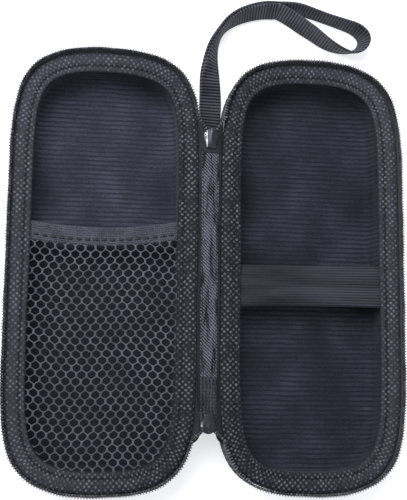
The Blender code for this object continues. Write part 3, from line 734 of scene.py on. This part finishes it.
strands, thick = [], []
for row in range(-36, 10):
    for column in range(-9, 10):
        cx = (column + 0.5 * (row % 2)) * CELL
        cy = row * ROW
        top = (cx, cy + ROW - JOINT)
        for way in (-1, 1):
            s = np.linspace(0, 1, 5)
            path = np.stack([cx + way * s * CELL / 2, top[1] + (JOINT * 2 - ROW) * s], 1)
            strands.append(path)
            thick.append([0.40, 0.26, 0.22, 0.26, 0.40])
        strands.append(np.array([[cx + CELL / 2, cy + JOINT], [cx + CELL / 2, cy - JOINT]]))
        thick.append([0.42, 0.42])
kept, kept_thick = [], []
for path, radii in zip(strands, thick):
    drawn = path.copy()
    drawn[:, 0] += (0.5 * np.sin(path[:, 1] / (9 * MM) + 0.7) + 0.3 * np.sin(path[:, 1] / (3.7 * MM))) * MM
    drawn[:, 1] += 0.5 * np.sin(path[:, 0] / (6.5 * MM)) * MM
    within = [in_net(x, y) for x, y in drawn]
    if not all(within):
        if not any(within):
            continue
        inner = [k for k, ok in enumerate(within) if ok]
        drawn, radii = drawn[inner[0] : inner[-1] + 1], radii[inner[0] : inner[-1] + 1]
        if len(drawn) < 2:
            continue
    level = NET_LEVEL + slack(drawn[:, 0], drawn[:, 1])
    kept.append(np.stack([-HALF_CENTRE + drawn[:, 0], drawn[:, 1], level], 1))
    kept_thick += list(radii)


def strand_tree():
    """Round threads along paths, as thick at each point as its own value says."""
    tree = bpy.data.node_groups.new("threads", "GeometryNodeTree")
    named = tree.interface.new_socket
    named("Geometry", in_out="INPUT", socket_type="NodeSocketGeometry")
    named("Thread", in_out="INPUT", socket_type="NodeSocketFloat")
    named("Material", in_out="INPUT", socket_type="NodeSocketMaterial")
    named("Geometry", in_out="OUTPUT", socket_type="NodeSocketGeometry")
    new, link = tree.nodes.new, tree.links.new
    given, out, paths = new("NodeGroupInput"), new("NodeGroupOutput"), new("GeometryNodeMeshToCurve")
    ring, tube = new("GeometryNodeCurvePrimitiveCircle"), new("GeometryNodeCurveToMesh")
    ring.inputs["Resolution"].default_value = 6
    tube.inputs["Fill Caps"].default_value = True
    thick = new("GeometryNodeInputNamedAttribute")
    thick.inputs["Name"].default_value = "thick"
    radius, sized = new("ShaderNodeMath"), new("GeometryNodeSetCurveRadius")
    radius.operation = "MULTIPLY"
    real, coat = new("GeometryNodeRealizeInstances"), new("GeometryNodeSetMaterial")
    link(given.outputs["Geometry"], paths.inputs["Mesh"])
    link(paths.outputs["Curve"], sized.inputs["Curve"])
    link(thick.outputs["Attribute"], radius.inputs[0])
    link(given.outputs["Thread"], radius.inputs[1])
    link(radius.outputs[0], sized.inputs["Radius"])
    link(sized.outputs["Curve"], tube.inputs["Curve"])
    ring.inputs["Radius"].default_value = 1.0
    link(ring.outputs["Curve"], tube.inputs["Profile Curve"])
    link(radius.outputs[0], tube.inputs["Scale"])
    link(tube.outputs["Mesh"], real.inputs["Geometry"])
    link(real.outputs["Geometry"], coat.inputs["Geometry"])
    link(given.outputs["Material"], coat.inputs["Material"])
    link(coat.outputs["Geometry"], out.inputs["Geometry"])
    return tree


net_finish = Finish("net_thread", specular=0.35, sheen=0.2)
net_finish.measure(mapped=False)
ply = net_finish.noise(0.35, 2)
dull = net_finish.noise(8, 2)
net_finish.relief(ply, 0.08)
net_tone = net_finish.mix(net_finish.maths("MULTIPLY", ply, net_finish.step(dull, 0.3, 0.7, 0.45, 1.2)),
                          (0.028, 0.028, 0.036), (0.165, 0.165, 0.20))
net = grown("pocket_net_cells", kept, strand_tree(),
            net_finish.done(net_tone, net_finish.step(ply, 0.2, 0.8, 0.5, 0.7)),
            attributes={"thick": kept_thick}, Thread=MM)
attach(net, "left_half")
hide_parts("pocket_net")


# Pocket hem: the net's top edge in a folded band of fine grey knit, 8 mm deep, with elastic in the
# fold. It sags between the walls and is stitched along its lower edge.
def knit_finish(name, low, high, stitch=0.9, specular=0.25):
    finish = Finish(name, specular=specular, sheen=0.1)
    x, y, _ = finish.measure()
    wander = finish.maths("MULTIPLY_ADD", finish.noise(2.5, 2), 1.6, x)
    row = finish.maths("MULTIPLY_ADD", finish.noise(4.0, 2), 1.2, y)
    loops = finish.maths("MULTIPLY_ADD", finish.wave(row, stitch), 0.65,
                         finish.maths("MULTIPLY", finish.wave(wander, stitch), 0.35))
    fuzz = finish.noise(0.6, 4)
    patch = finish.noise(7, 3)
    finish.relief(loops, 0.10)
    finish.relief(fuzz, 0.10)
    light = finish.maths("MULTIPLY_ADD", loops, 0.34, finish.maths("MULTIPLY", fuzz, 1.05))
    light = finish.maths("MULTIPLY", light, finish.step(patch, 0.2, 0.8, 0.75, 1.15))
    colour = finish.mix(finish.step(light, 0.38, 0.92), low, high)
    return finish.done(colour, finish.step(fuzz, 0.2, 0.8, 0.7, 0.92))


hem_knit = knit_finish("hem_knit", (0.022, 0.022, 0.027), (0.088, 0.088, 0.110), stitch=0.95)
hem_section = [(0.0, 0.0), (0.25, 0.5), (0.9, 0.72), (1.7, 0.66), (2.6, 0.42), (4.4, 0.36), (5.2, 0.36),
               (5.9, 0.18), (6.6, 0.32), (7.7, 0.28), (8.0, 0.1)]
hem_section += [(drop, -0.8 * rise) for drop, rise in hem_section[-1:0:-1]]
spread = np.linspace(-NET_HALF, NET_HALF, 150)
points = np.zeros((150, len(hem_section), 3))
for k, (drop, rise) in enumerate(hem_section):
    y = mouth(spread, drop * MM)
    pucker = 0.10 * np.sin(spread / (0.75 * MM)) * (1 + 0.5 * np.sin(spread / (4 * MM))) * (drop > 2)
    points[:, k] = np.stack([-HALF_CENTRE + spread, y,
                             NET_LEVEL + slack(spread, y) + (rise + pucker * (rise > 0)) * MM], 1)
measure = np.zeros((150, len(hem_section) + 1, 2))
measure[:, :, 0] = spread[:, None]
measure[:, :, 1] = np.array([drop for drop, _ in hem_section] + [0.0]) * MM
hem = grid_piece("pocket_hem_band", points, measure, hem_knit, wrap_columns=True, caps=True)
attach(hem, "left_half")
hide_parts("pocket_hem")
path = np.stack([-HALF_CENTRE + spread, mouth(spread, 5.5 * MM),
                 NET_LEVEL + slack(spread, mouth(spread, 5.5 * MM)) + 0.5 * MM], 1)
hem_stitches = grown("hem_stitches", [path], beads, thread, Pitch=3.55 * MM, Length=2.3 * MM,
                     Width=1.1 * MM, Height=0.6 * MM)
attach(hem_stitches, "left_half")


# Elastic band: grey woven elastic, 18 mm wide, with fine ribs along it, stretched across the right
# half and caught under the binding at both ends. It holds the device down.
def elastic_finish():
    finish = Finish("elastic", specular=0.2, sheen=0.1)
    x, y, _ = finish.measure()
    rib = finish.maths("MULTIPLY", finish.wave(y, 1.21), finish.step(x, -26, 18, 0.25, 1.0))
    pick = finish.wave(x, 0.6)
    fuzz = finish.noise(0.45, 3, (1, 1.6, 1))
    along = finish.noise(6, 3, (0.12, 1, 1))
    finish.relief(rib, 0.05)
    finish.relief(finish.maths("MULTIPLY_ADD", pick, 0.4, fuzz), 0.14)
    light = finish.maths("MULTIPLY_ADD", rib, 0.26, finish.maths("MULTIPLY_ADD", fuzz, 0.7,
                                                                 finish.maths("MULTIPLY", along, 0.7)))
    colour = finish.mix(finish.step(light, 0.45, 1.2), (0.003, 0.003, 0.005), (0.066, 0.066, 0.084))
    return finish.done(colour, finish.step(fuzz, 0.2, 0.8, 0.7, 0.9))


BAND_CENTRE, BAND_WIDTH, BAND_LEVEL = -5.7 * MM, 18.2 * MM, 18.9 * MM
reach = HALF_WIDTH / 2 - 8.7 * MM
spread, width = np.linspace(-reach, reach, 120), np.linspace(-BAND_WIDTH / 2, BAND_WIDTH / 2, 91)
x, y = np.meshgrid(spread, width, indexing="ij")
bow = 0.9 * (1 - (x / reach) ** 2) * (1 - 0.25 * (y / BAND_WIDTH * 2) ** 2)
curl = -0.35 * np.abs(y / BAND_WIDTH * 2) ** 6
ribs = 0.035 * np.sin(2 * np.pi * y / (1.21 * MM))
narrow = 1 - 0.035 * (1 - (x / reach) ** 2)
level = BAND_LEVEL + (bow + curl) * MM
rise = x / reach * 0.45 * MM
plan_y = BAND_CENTRE + y * narrow + rise
upper = np.stack([HALF_CENTRE + x, plan_y, level + (0.42 + ribs) * MM], -1)
lower = np.stack([HALF_CENTRE + x, plan_y, level - (0.36 + ribs) * MM], -1)
points = np.concatenate([upper, lower[:, ::-1]], 1)
measure = np.concatenate([np.stack([x, y], -1), np.stack([x, y], -1)[:, ::-1]], 1)
measure = np.concatenate([measure, measure[:, :1]], 1)
band = grid_piece("elastic_band_woven", points, measure, elastic_finish(), wrap_columns=True, caps=True)
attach(band, "right_half")
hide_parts("elastic_band")


# Fold strip, outside: the cover's cloth carried across from half to half and sewn to both. It is
# the hinge of the case.
def flat_strip(name, half_width, low_y, high_y, level, thick, finish, crown=0.0, columns=25, rows=160,
               wavy=0.0):
    """A strip along the fold with a soft crown and slightly rounded edges, measured along its length."""
    y, x = np.meshgrid(np.linspace(low_y, high_y, rows), np.linspace(-1, 1, columns), indexing="ij")
    edge = np.clip((1 - np.abs(x)) * half_width / (0.35 * MM), 0, 1) ** 0.5
    wander = wavy * np.sin(y / (8 * MM)) * np.abs(x)
    crease = np.sin(y / (3.1 * MM) + 2.2 * x) * np.sin(y / (11 * MM) + 0.6) * (1 - x**4)
    top = level + crown * (1 - x**2) + wander + 1.6 * wavy * crease - thick * 0.5 * (1 - edge)
    base = level - thick + thick * 0.45 * (1 - edge)
    upper = np.stack([x * half_width, y, top], -1)
    lower = np.stack([x * half_width, y, base], -1)
    points = np.concatenate([upper, lower[:, ::-1]], 1)
    laid = np.stack([y, x * half_width], -1)
    measure = np.concatenate([laid, laid[:, ::-1], laid[:, :1]], 1)
    return grid_piece(name, points, measure, finish, wrap_columns=True, caps=True)


UPPER_END, LOWER_END, LOWER_REACH = 52.6 * MM, -47.3 * MM, -60.5 * MM
STRIP_WIDE = 7.4 * MM  # twill and zip ends between the two fold lines
outer_strip = flat_strip("fold_outer_cloth", 4.8 * MM, LOWER_REACH, UPPER_END - GAP, 21.3 * MM, 1.2 * MM,
                         cover_cloth)
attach(outer_strip, "spine")
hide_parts("spine_cover")


# Fold flaps: the same cloth, turned from the strip down onto each half's outside wall and glued there,
# so that no light shows through the fold. They reach past the strip to the start of the zip's V.
def wall_x(y, inset):
    """Distance from the fold's middle to a half's fold side at this height of the plan."""
    share = (1 - np.abs(y / (CASE_LENGTH / 2)) ** SIDE_POWER) ** (1 / END_POWER)
    return HALF_CENTRE + inset - HALF_WIDTH / 2 * share


for side, half in ((-1, "left"), (1, "right")):
    y = np.linspace(LOWER_START - 1 * MM, UPPER_START + 1 * MM, 190)
    beyond = np.maximum(y - UPPER_END, LOWER_REACH - y) / MM
    past = np.clip(beyond + 0.9, 0, 1)
    taper = np.clip((beyond - 9.0) / 4.5, 0, 1) ** 2
    inner = 4.4 * MM - past * past * (3 - 2 * past) * 0.95 * MM
    inner = inner + taper * (wall_x(y, 0.55 * MM) - inner)
    line = [(inner, 21.42), (inner + 0.35 * MM * (1 - taper), 21.44)]
    line += [(wall_x(y, inset * MM), z) for inset, z in ((0.70, 21.3), (0.86, 20.9), (0.9, 20.2),
                                                         (0.82, 19.4), (1.5, 15.0), (1.9, 12.4))]
    upper = np.stack([np.stack([x, y, np.full(190, z * MM)], 1) for x, z in line], 1)
    upper[:, :2, 2] += (past * (1 - taper) * 0.48 * MM)[:, None]
    bends = np.gradient(upper, axis=1)
    normal = np.stack([bends[..., 2], np.zeros(bends.shape[:2]), -bends[..., 0]], -1)
    normal /= np.linalg.norm(normal, axis=2, keepdims=True)
    points = np.concatenate([upper, (upper + normal * 0.3 * MM)[:, ::-1]], 1) * np.array([side, 1, 1])
    down = np.array([0, 0.4, 1.0, 1.5, 2.2, 3.0, 7.4, 10.0]) * MM
    wide = np.concatenate([down, down[::-1], down[:1]])
    measure = np.stack(np.broadcast_arrays(y[:, None], wide[None]), -1)
    flap = grid_piece(half + "_fold_flap", points, measure, cover_cloth, wrap_columns=True, caps=True)
    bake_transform(flap)


# Fold strip, inside: grey twill tape that covers the seams of cloth and zip, sewn down along both
# edges. It lies in soft creases, because it has been folded many times.
def twill_finish():
    finish = Finish("twill", specular=0.2, sheen=0.1)
    x, y, _ = finish.measure()
    diagonal = finish.maths("ADD", x, y)
    rib = finish.wave(finish.maths("MULTIPLY_ADD", finish.noise(3.0, 2), 1.2, diagonal), 1.45)
    cross = finish.wave(finish.maths("SUBTRACT", x, y), 1.0)
    fuzz = finish.noise(0.6, 3)
    patch = finish.noise(10, 2)
    crease = finish.noise(2.4, 3, (0.16, 1, 1))
    finish.relief(finish.maths("MULTIPLY_ADD", cross, 0.4, rib), 0.10)
    finish.relief(crease, 0.5)
    light = finish.maths("MULTIPLY_ADD", rib, 0.38, finish.maths("MULTIPLY_ADD", cross, 0.16,
                                                                 finish.maths("MULTIPLY", fuzz, 0.8)))
    light = finish.maths("MULTIPLY", light, finish.step(patch, 0.2, 0.8, 0.85, 1.1))
    # Painted shade: the colour darkens in the hollows of the creases.
    light = finish.maths("MULTIPLY", light, finish.step(crease, 0.3, 0.55, 0.55, 1.0))
    colour = finish.mix(finish.step(light, 0.38, 0.95), (0.003, 0.003, 0.005), (0.165, 0.165, 0.20))
    return finish.done(colour, finish.step(fuzz, 0.2, 0.8, 0.7, 0.9))


twill = flat_strip("fold_twill", STRIP_WIDE / 2, LOWER_END, UPPER_END, 22.0 * MM, 0.5 * MM, twill_finish(),
                   crown=0.25 * MM, wavy=0.06 * MM)
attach(twill, "spine")
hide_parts("spine_strip")


# Zip ends: past each end of the strip both zip tapes run flat through a slider. Below it a knitted
# end of tape shows between strip and slider, sewn down with a row of stitches along each side.
TRACK = 22.7 * MM
ENDS = {"upper": (UPPER_END, UPPER_END + GAP, 1, UPPER_START),
        "lower": (-LOWER_END, -LOWER_REACH + GAP, -1, -LOWER_START)}
SLIDER_LENGTH, CHANNEL_HALF, PLATE = 8.6 * MM, 1.0 * MM, 1.0 * MM
end_knit = knit_finish("end_knit", (0.001, 0.001, 0.002), (0.056, 0.056, 0.070), stitch=1.4)
for word, (begin, rest, way, _) in ENDS.items():
    low_y, high_y = sorted((way * (begin - 1.4 * MM), way * (rest + 6.0 * MM)))
    rows = flat_strip(word + "_zip_tape_end", STRIP_WIDE / 2, low_y, high_y, TRACK + 0.2 * MM, 0.55 * MM,
                      end_knit, crown=0.12 * MM, rows=60)
    if way > 0:
        rows.data.materials[0] = zip_tape
    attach(rows, "spine")
    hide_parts(word + "_zip_end")
seams = []
for side in (-1, 1):
    y = np.linspace(LOWER_END - 1.2 * MM, LOWER_REACH - 0.8 * MM, 30)
    seams.append(np.stack([np.full(30, side * 2.6 * MM), y, np.full(30, TRACK + 0.30 * MM)], 1))
    y = np.linspace(LOWER_END + 1.2 * MM, UPPER_END - 1.4 * MM, 200)
    seams.append(np.stack([np.full(200, side * 3.0 * MM), y, np.full(200, 22.12 * MM)], 1))
for y in (LOWER_END + 1.3 * MM, UPPER_END - 1.3 * MM):
    x = np.linspace(-2.8 * MM, 2.8 * MM, 12)
    seams.append(np.stack([x, np.full(12, y), np.full(12, 22.26 * MM)], 1))
strip_seams = grown("fold_strip_stitches", seams, beads, thread, Pitch=2.2 * MM, Length=1.8 * MM,
                    Width=0.4 * MM, Height=0.26 * MM)
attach(strip_seams, "spine")


# Zip forks: beyond each slider the two tapes part in a short V, turning from flat to upright as
# they reach the halves, with the coil on the edge that faces in.
def hermite(start, end, start_way, end_way, count):
    s = np.linspace(0, 1, count)[:, None]
    a, b = 2 * s**3 - 3 * s**2 + 1, s**3 - 2 * s**2 + s
    return a * start + b * start_way + (1 - a) * end + (s**3 - s**2) * end_way


for word, (_, rest, way, stop) in ENDS.items():
    at, inward, _, _ = outline(2, UPPER_START, LOWER_START)
    for side, half in ((-1, "left"), (1, "right")):
        x = abs(to_world(at + inward * 0.9 * MM, 0.0, side)[0 if way > 0 else 1][0])
        coil_edge = hermite(np.array([0.7, rest / MM + 5.2, 22.75]),
                            np.array([x / MM, stop / MM + 0.4, 24.75]),
                            np.array([0.0, 6.0, 0.2]), np.array([3.2, 5.5, 0.8]), 34)
        low_edge = hermite(np.array([3.5, rest / MM + 4.6, 22.5]),
                           np.array([x / MM - 0.15, stop / MM + 0.4, 19.7]),
                           np.array([0.8, 5.0, -0.4]), np.array([0.8, 5.5, -1.6]), 34)
        share = np.linspace(0, 1, 9)[None, :, None]
        sheet = low_edge[:, None] + (coil_edge - low_edge)[:, None] * share
        across = coil_edge - low_edge
        normal = np.cross(np.gradient(coil_edge, axis=0), across)
        normal /= np.linalg.norm(normal, axis=1, keepdims=True)
        points = np.concatenate([sheet + normal[:, None] * 0.3, (sheet - normal[:, None] * 0.3)[:, ::-1]],
                                1)
        points *= np.array([side, way, 1])
        along = np.concatenate([[0], np.cumsum(np.linalg.norm(np.diff(coil_edge, axis=0), axis=1))])
        wide = np.concatenate([np.linspace(0, 5, 9), np.linspace(5, 0, 9), [0]])
        measure = np.stack(np.broadcast_arrays(along[:, None], wide[None]), -1)
        fork = grid_piece(f"{word}_{half}_fork", points * MM, measure * MM, zip_tape, wrap_columns=True,
                          caps=True)
        outward = (normal if np.mean(normal[:, 2]) > 0 else -normal) * np.array([side, way, 1])
        line = (coil_edge + normal * np.sign(np.mean(normal[:, 2])) * 0.35) * np.array([side, way, 1]) * MM
        teeth = grown(f"{word}_{half}_fork_coil", [line], beads, zip_coil, [outward], Pitch=TURN,
                      Length=0.74 * MM,
                      Width=1.6 * MM, Height=1.35 * MM)
        for piece in (fork, teeth):
            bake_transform(piece)


# Sliders: cast zinc, painted black. Two plates with turned-in rims ride above and below the coils,
# joined by a post at the mouth. A ridge runs down each face, and paint is worn off the edges. The
# bright patches along the left edges are a painted highlight.
def slider_finish(name, highlight_reach):
    finish = Finish(name, specular=0.4, metallic=0.4, coat=0.15)
    across, _, _ = finish.measure()
    highlight_breakup = finish.step(finish.noise(1.7, 2), 0.34, 0.44)
    # Painted highlight: bright patches along the left edge, reaching further in on the upper slider.
    left_highlight = finish.maths("MULTIPLY", finish.step(across, -1.95 + highlight_reach, -2.25 + highlight_reach), highlight_breakup)
    finish.measure(mapped=False)
    pitted = finish.noise(0.5, 4)
    broad = finish.noise(3, 2)
    edge = finish.node("ShaderNodeNewGeometry", {}).outputs["Pointiness"]
    worn = finish.maths("MULTIPLY", finish.step(edge, 0.52, 0.60), finish.step(broad, 0.35, 0.65))
    finish.relief(pitted, 0.015)
    paint = finish.mix(pitted, (0.008, 0.008, 0.011), (0.034, 0.034, 0.044))
    wear_and_highlight = finish.mix(pitted, (0.45, 0.45, 0.48), (0.80, 0.80, 0.83))
    colour = finish.mix(finish.maths("MAXIMUM", left_highlight, finish.maths("MULTIPLY", worn, 0.4)), paint, wear_and_highlight)
    return finish.done(colour, finish.step(pitted, 0.2, 0.8, 0.28, 0.5))


slider_metal = slider_finish("slider_metal", -0.6)
highlit_metal = slider_finish("slider_metal_highlit", 0.25)


def slider_outline(count):
    """Half width of a slider against distance from its heel, as a closed ring seen from above."""
    stations = np.array([0, 0.25, 1.2, 2.6, 4.2, 5.5, 6.6, 7.6, 8.3, 8.6])
    widths = np.array([1.7, 2.15, 2.25, 2.5, 3.0, 3.3, 3.1, 2.35, 1.2, 0.0])
    s = np.linspace(0, 1, count // 2)
    y = 8.6 * (1 - np.cos(np.pi * s)) / 2
    w = np.interp(y, stations, widths)
    for _ in range(2):
        w[1:-1] = (w[:-2] + 2 * w[1:-1] + w[2:]) / 4
    return np.concatenate([np.stack([w, y], 1), np.stack([-w[::-1], y[::-1]], 1)[:-1]])


def slider_plate(inner, facing):
    """Rings for one plate: from its outer face's middle, over the edge and rim, to the inside."""
    ring = slider_outline(96)
    middle = np.array([0.0, 4.4])
    rows = []
    for r, h in ((0.06, 1.0), (0.25, 0.99), (0.5, 0.97), (0.72, 0.92), (0.88, 0.82), (0.96, 0.62),
                 (1.0, 0.32), (1.0, -0.25),
                 (0.985, -0.62), (0.95, -0.68), (0.91, -0.62), (0.88, -0.25), (0.86, 0.0), (0.5, 0.0),
                 (0.06, 0.0)):
        plan = middle + (ring - middle) * r
        ridge = 0.28 * np.exp(-((plan[:, 0] / 0.55) ** 2)) * (h > 0.8) * (1 - r**6)
        rim = h if h >= 0 else h * 0.75 * np.clip((plan[:, 1] - 1.6) / 0.8, 0,
                                                  1) * np.clip((6.4 - plan[:, 1]) / 0.8, 0, 1)
        z = inner + facing * (rim * PLATE / MM * (0.92 if h > 0 else 1) + ridge)
        rows.append(np.stack([plan[:, 0], plan[:, 1], np.broadcast_to(z, len(plan))], 1))
    return np.array(rows)


for word, (_, rest, way, _) in ENDS.items():
    for level, facing in (("inner", 1), ("outer", -1)):
        rows = slider_plate(TRACK / MM + facing * CHANNEL_HALF / MM, facing)
        rows[..., 1] = way * (rows[..., 1] + rest / MM)
        plate = grid_piece(f"{word}_slider_{level}_plate", rows * MM,
                           rows[..., :2][:, list(range(rows.shape[1])) + [0]] * MM,
                           highlit_metal if word == "upper" else slider_metal, wrap_columns=True, caps=True)
        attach(plate, word + "_slider")
        if level == "inner":
            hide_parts(word + "_slider_body")
    turn = np.linspace(0, 2 * np.pi, 24, endpoint=False)
    post = np.stack([0.75 * np.cos(turn), 1.7 * np.sin(turn) + rest / MM + 6.4], 1) * np.array([1, way])
    heights = TRACK / MM + np.linspace(-1.15, 1.15, 6)
    points = np.array([np.column_stack([post * (1 + 0.15 * abs(z - TRACK / MM)),
                                        np.full(24, z)]) for z in heights])
    points[..., 1] = points[..., 1] + (post.mean(0)[1] - points[..., 1].mean(1, keepdims=True))
    post = grid_piece(word + "_slider_post", points * MM, points[..., :2][:, list(range(24)) + [0]] * MM,
                      slider_metal,
                      wrap_columns=True, caps=True)
    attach(post, word + "_slider")

# Bridges and pulls: a cast loop on each slider's outer face holds the crossbar of a tapered pull,
# which hangs straight down outside the case and swings on the bar.
BRIDGE_TOP = TRACK - CHANNEL_HALF - PLATE - GAP


def swell(wave, power):
    """A sine or cosine swollen towards a rounded square."""
    return np.sign(wave) * np.abs(wave) ** power


for word, (_, rest, way, _) in ENDS.items():
    centre = rest + SLIDER_LENGTH / 2
    arch = smooth_run([(0, -2.45, 0.0), (0, -2.5, -0.9), (0, -2.3, -1.65), (0, -1.6, -2.0), (0, 0, -2.05),
                       (0, 1.6, -2.0),
                       (0, 2.3, -1.65), (0, 2.5, -0.9), (0, 2.45, 0.0)], 0.16)
    tangent = np.gradient(arch, axis=0)
    tangent /= np.linalg.norm(tangent, axis=1, keepdims=True)
    normal = np.cross(tangent, [1.0, 0, 0])
    turn = np.linspace(0, 2 * np.pi, 16, endpoint=False)
    points = (arch[:, None] + np.array([1.0, 0, 0]) * (0.78 * swell(np.cos(turn), 0.5))[None, :, None]
              + normal[:, None] * (0.36 * swell(np.sin(turn), 0.5))[None, :, None])
    points += np.array([0, centre / MM, BRIDGE_TOP / MM])
    points *= np.array([1, way, 1])
    bridge = grid_piece(word + "_bridge_loop", points * MM, points[..., :2][:, list(range(16)) + [0]] * MM,
                        slider_metal,
                        wrap_columns=True, caps=True)
    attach(bridge, word + "_slider")
    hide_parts(word + "_bridge")

    axis = BRIDGE_TOP / MM - 0.85
    turn = np.linspace(0, 2 * np.pi, 72, endpoint=False)
    c, s = np.cos(turn), np.sin(turn)
    outer = np.stack([2.4 * swell(c, 0.45) * (1 - 0.10 * (s < 0) * np.abs(s)),
                      -6.25 + 6.75 * swell(s, 0.55)], 1)
    hole = np.stack([1.25 * swell(c, 0.45), -2.0 + 1.6 * swell(s, 0.5)], 1)
    rows = []
    for w, h in ((0, -0.2), (0, 0.2), (0.04, 0.36), (0.12, 0.45), (0.4, 0.45), (0.7, 0.42), (0.9, 0.45),
                 (0.97, 0.36), (1, 0.2),
                 (1, -0.2), (0.97, -0.36), (0.9, -0.45), (0.7, -0.42), (0.4, -0.45), (0.12, -0.45),
                 (0.04, -0.36)):
        plan = hole + (outer - hole) * w
        rows.append(np.stack([plan[:, 0], np.full(72, h), plan[:, 1]], 1))
    points = np.array(rows) + np.array([0, way * centre / MM, axis])
    measure = points[..., [0, 2]][:, list(range(72)) + [0]]
    measure = np.concatenate([measure, measure[:1]])
    pull = grid_piece(word + "_pull_tab", points * MM, measure * MM, slider_metal, wrap_rows=True,
                      wrap_columns=True)
    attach(pull, word + "_pull")
    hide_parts(word + "_pull")

# Strap anchor: a doubled patch of the cover's cloth under the fold, over the strap's two ends, with
# a stitched box and cross through all the layers.
ANCHOR = {"x": 4.8 * MM, "low": 42.0 * MM, "high": 49.0 * MM, "top": 19.75 * MM, "thick": 1.15 * MM}
patch = flat_strip("strap_anchor_patch", ANCHOR["x"], ANCHOR["low"], ANCHOR["high"], ANCHOR["top"],
                   ANCHOR["thick"], cover_cloth, rows=40)
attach(patch, "spine")
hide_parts("strap_anchor")
box = np.array([(-3.6, 43.0), (3.6, 43.0), (3.6, 48.0), (-3.6, 48.0), (-3.6, 43.0)])
lines = [np.linspace(a, b, 8) for a, b in zip(box[:-1], box[1:])]
lines += [np.linspace(box[0], box[2], 10), np.linspace(box[1], box[3], 10)]
under = ANCHOR["top"] / MM - ANCHOR["thick"] / MM - 0.02
lines = [np.column_stack([line, np.full(len(line), under)]) * MM for line in lines]
box_stitches = grown("anchor_stitches", lines, beads, thread, Pitch=1.7 * MM, Length=1.35 * MM,
                     Width=0.4 * MM, Height=0.34 * MM)
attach(box_stitches, "spine")
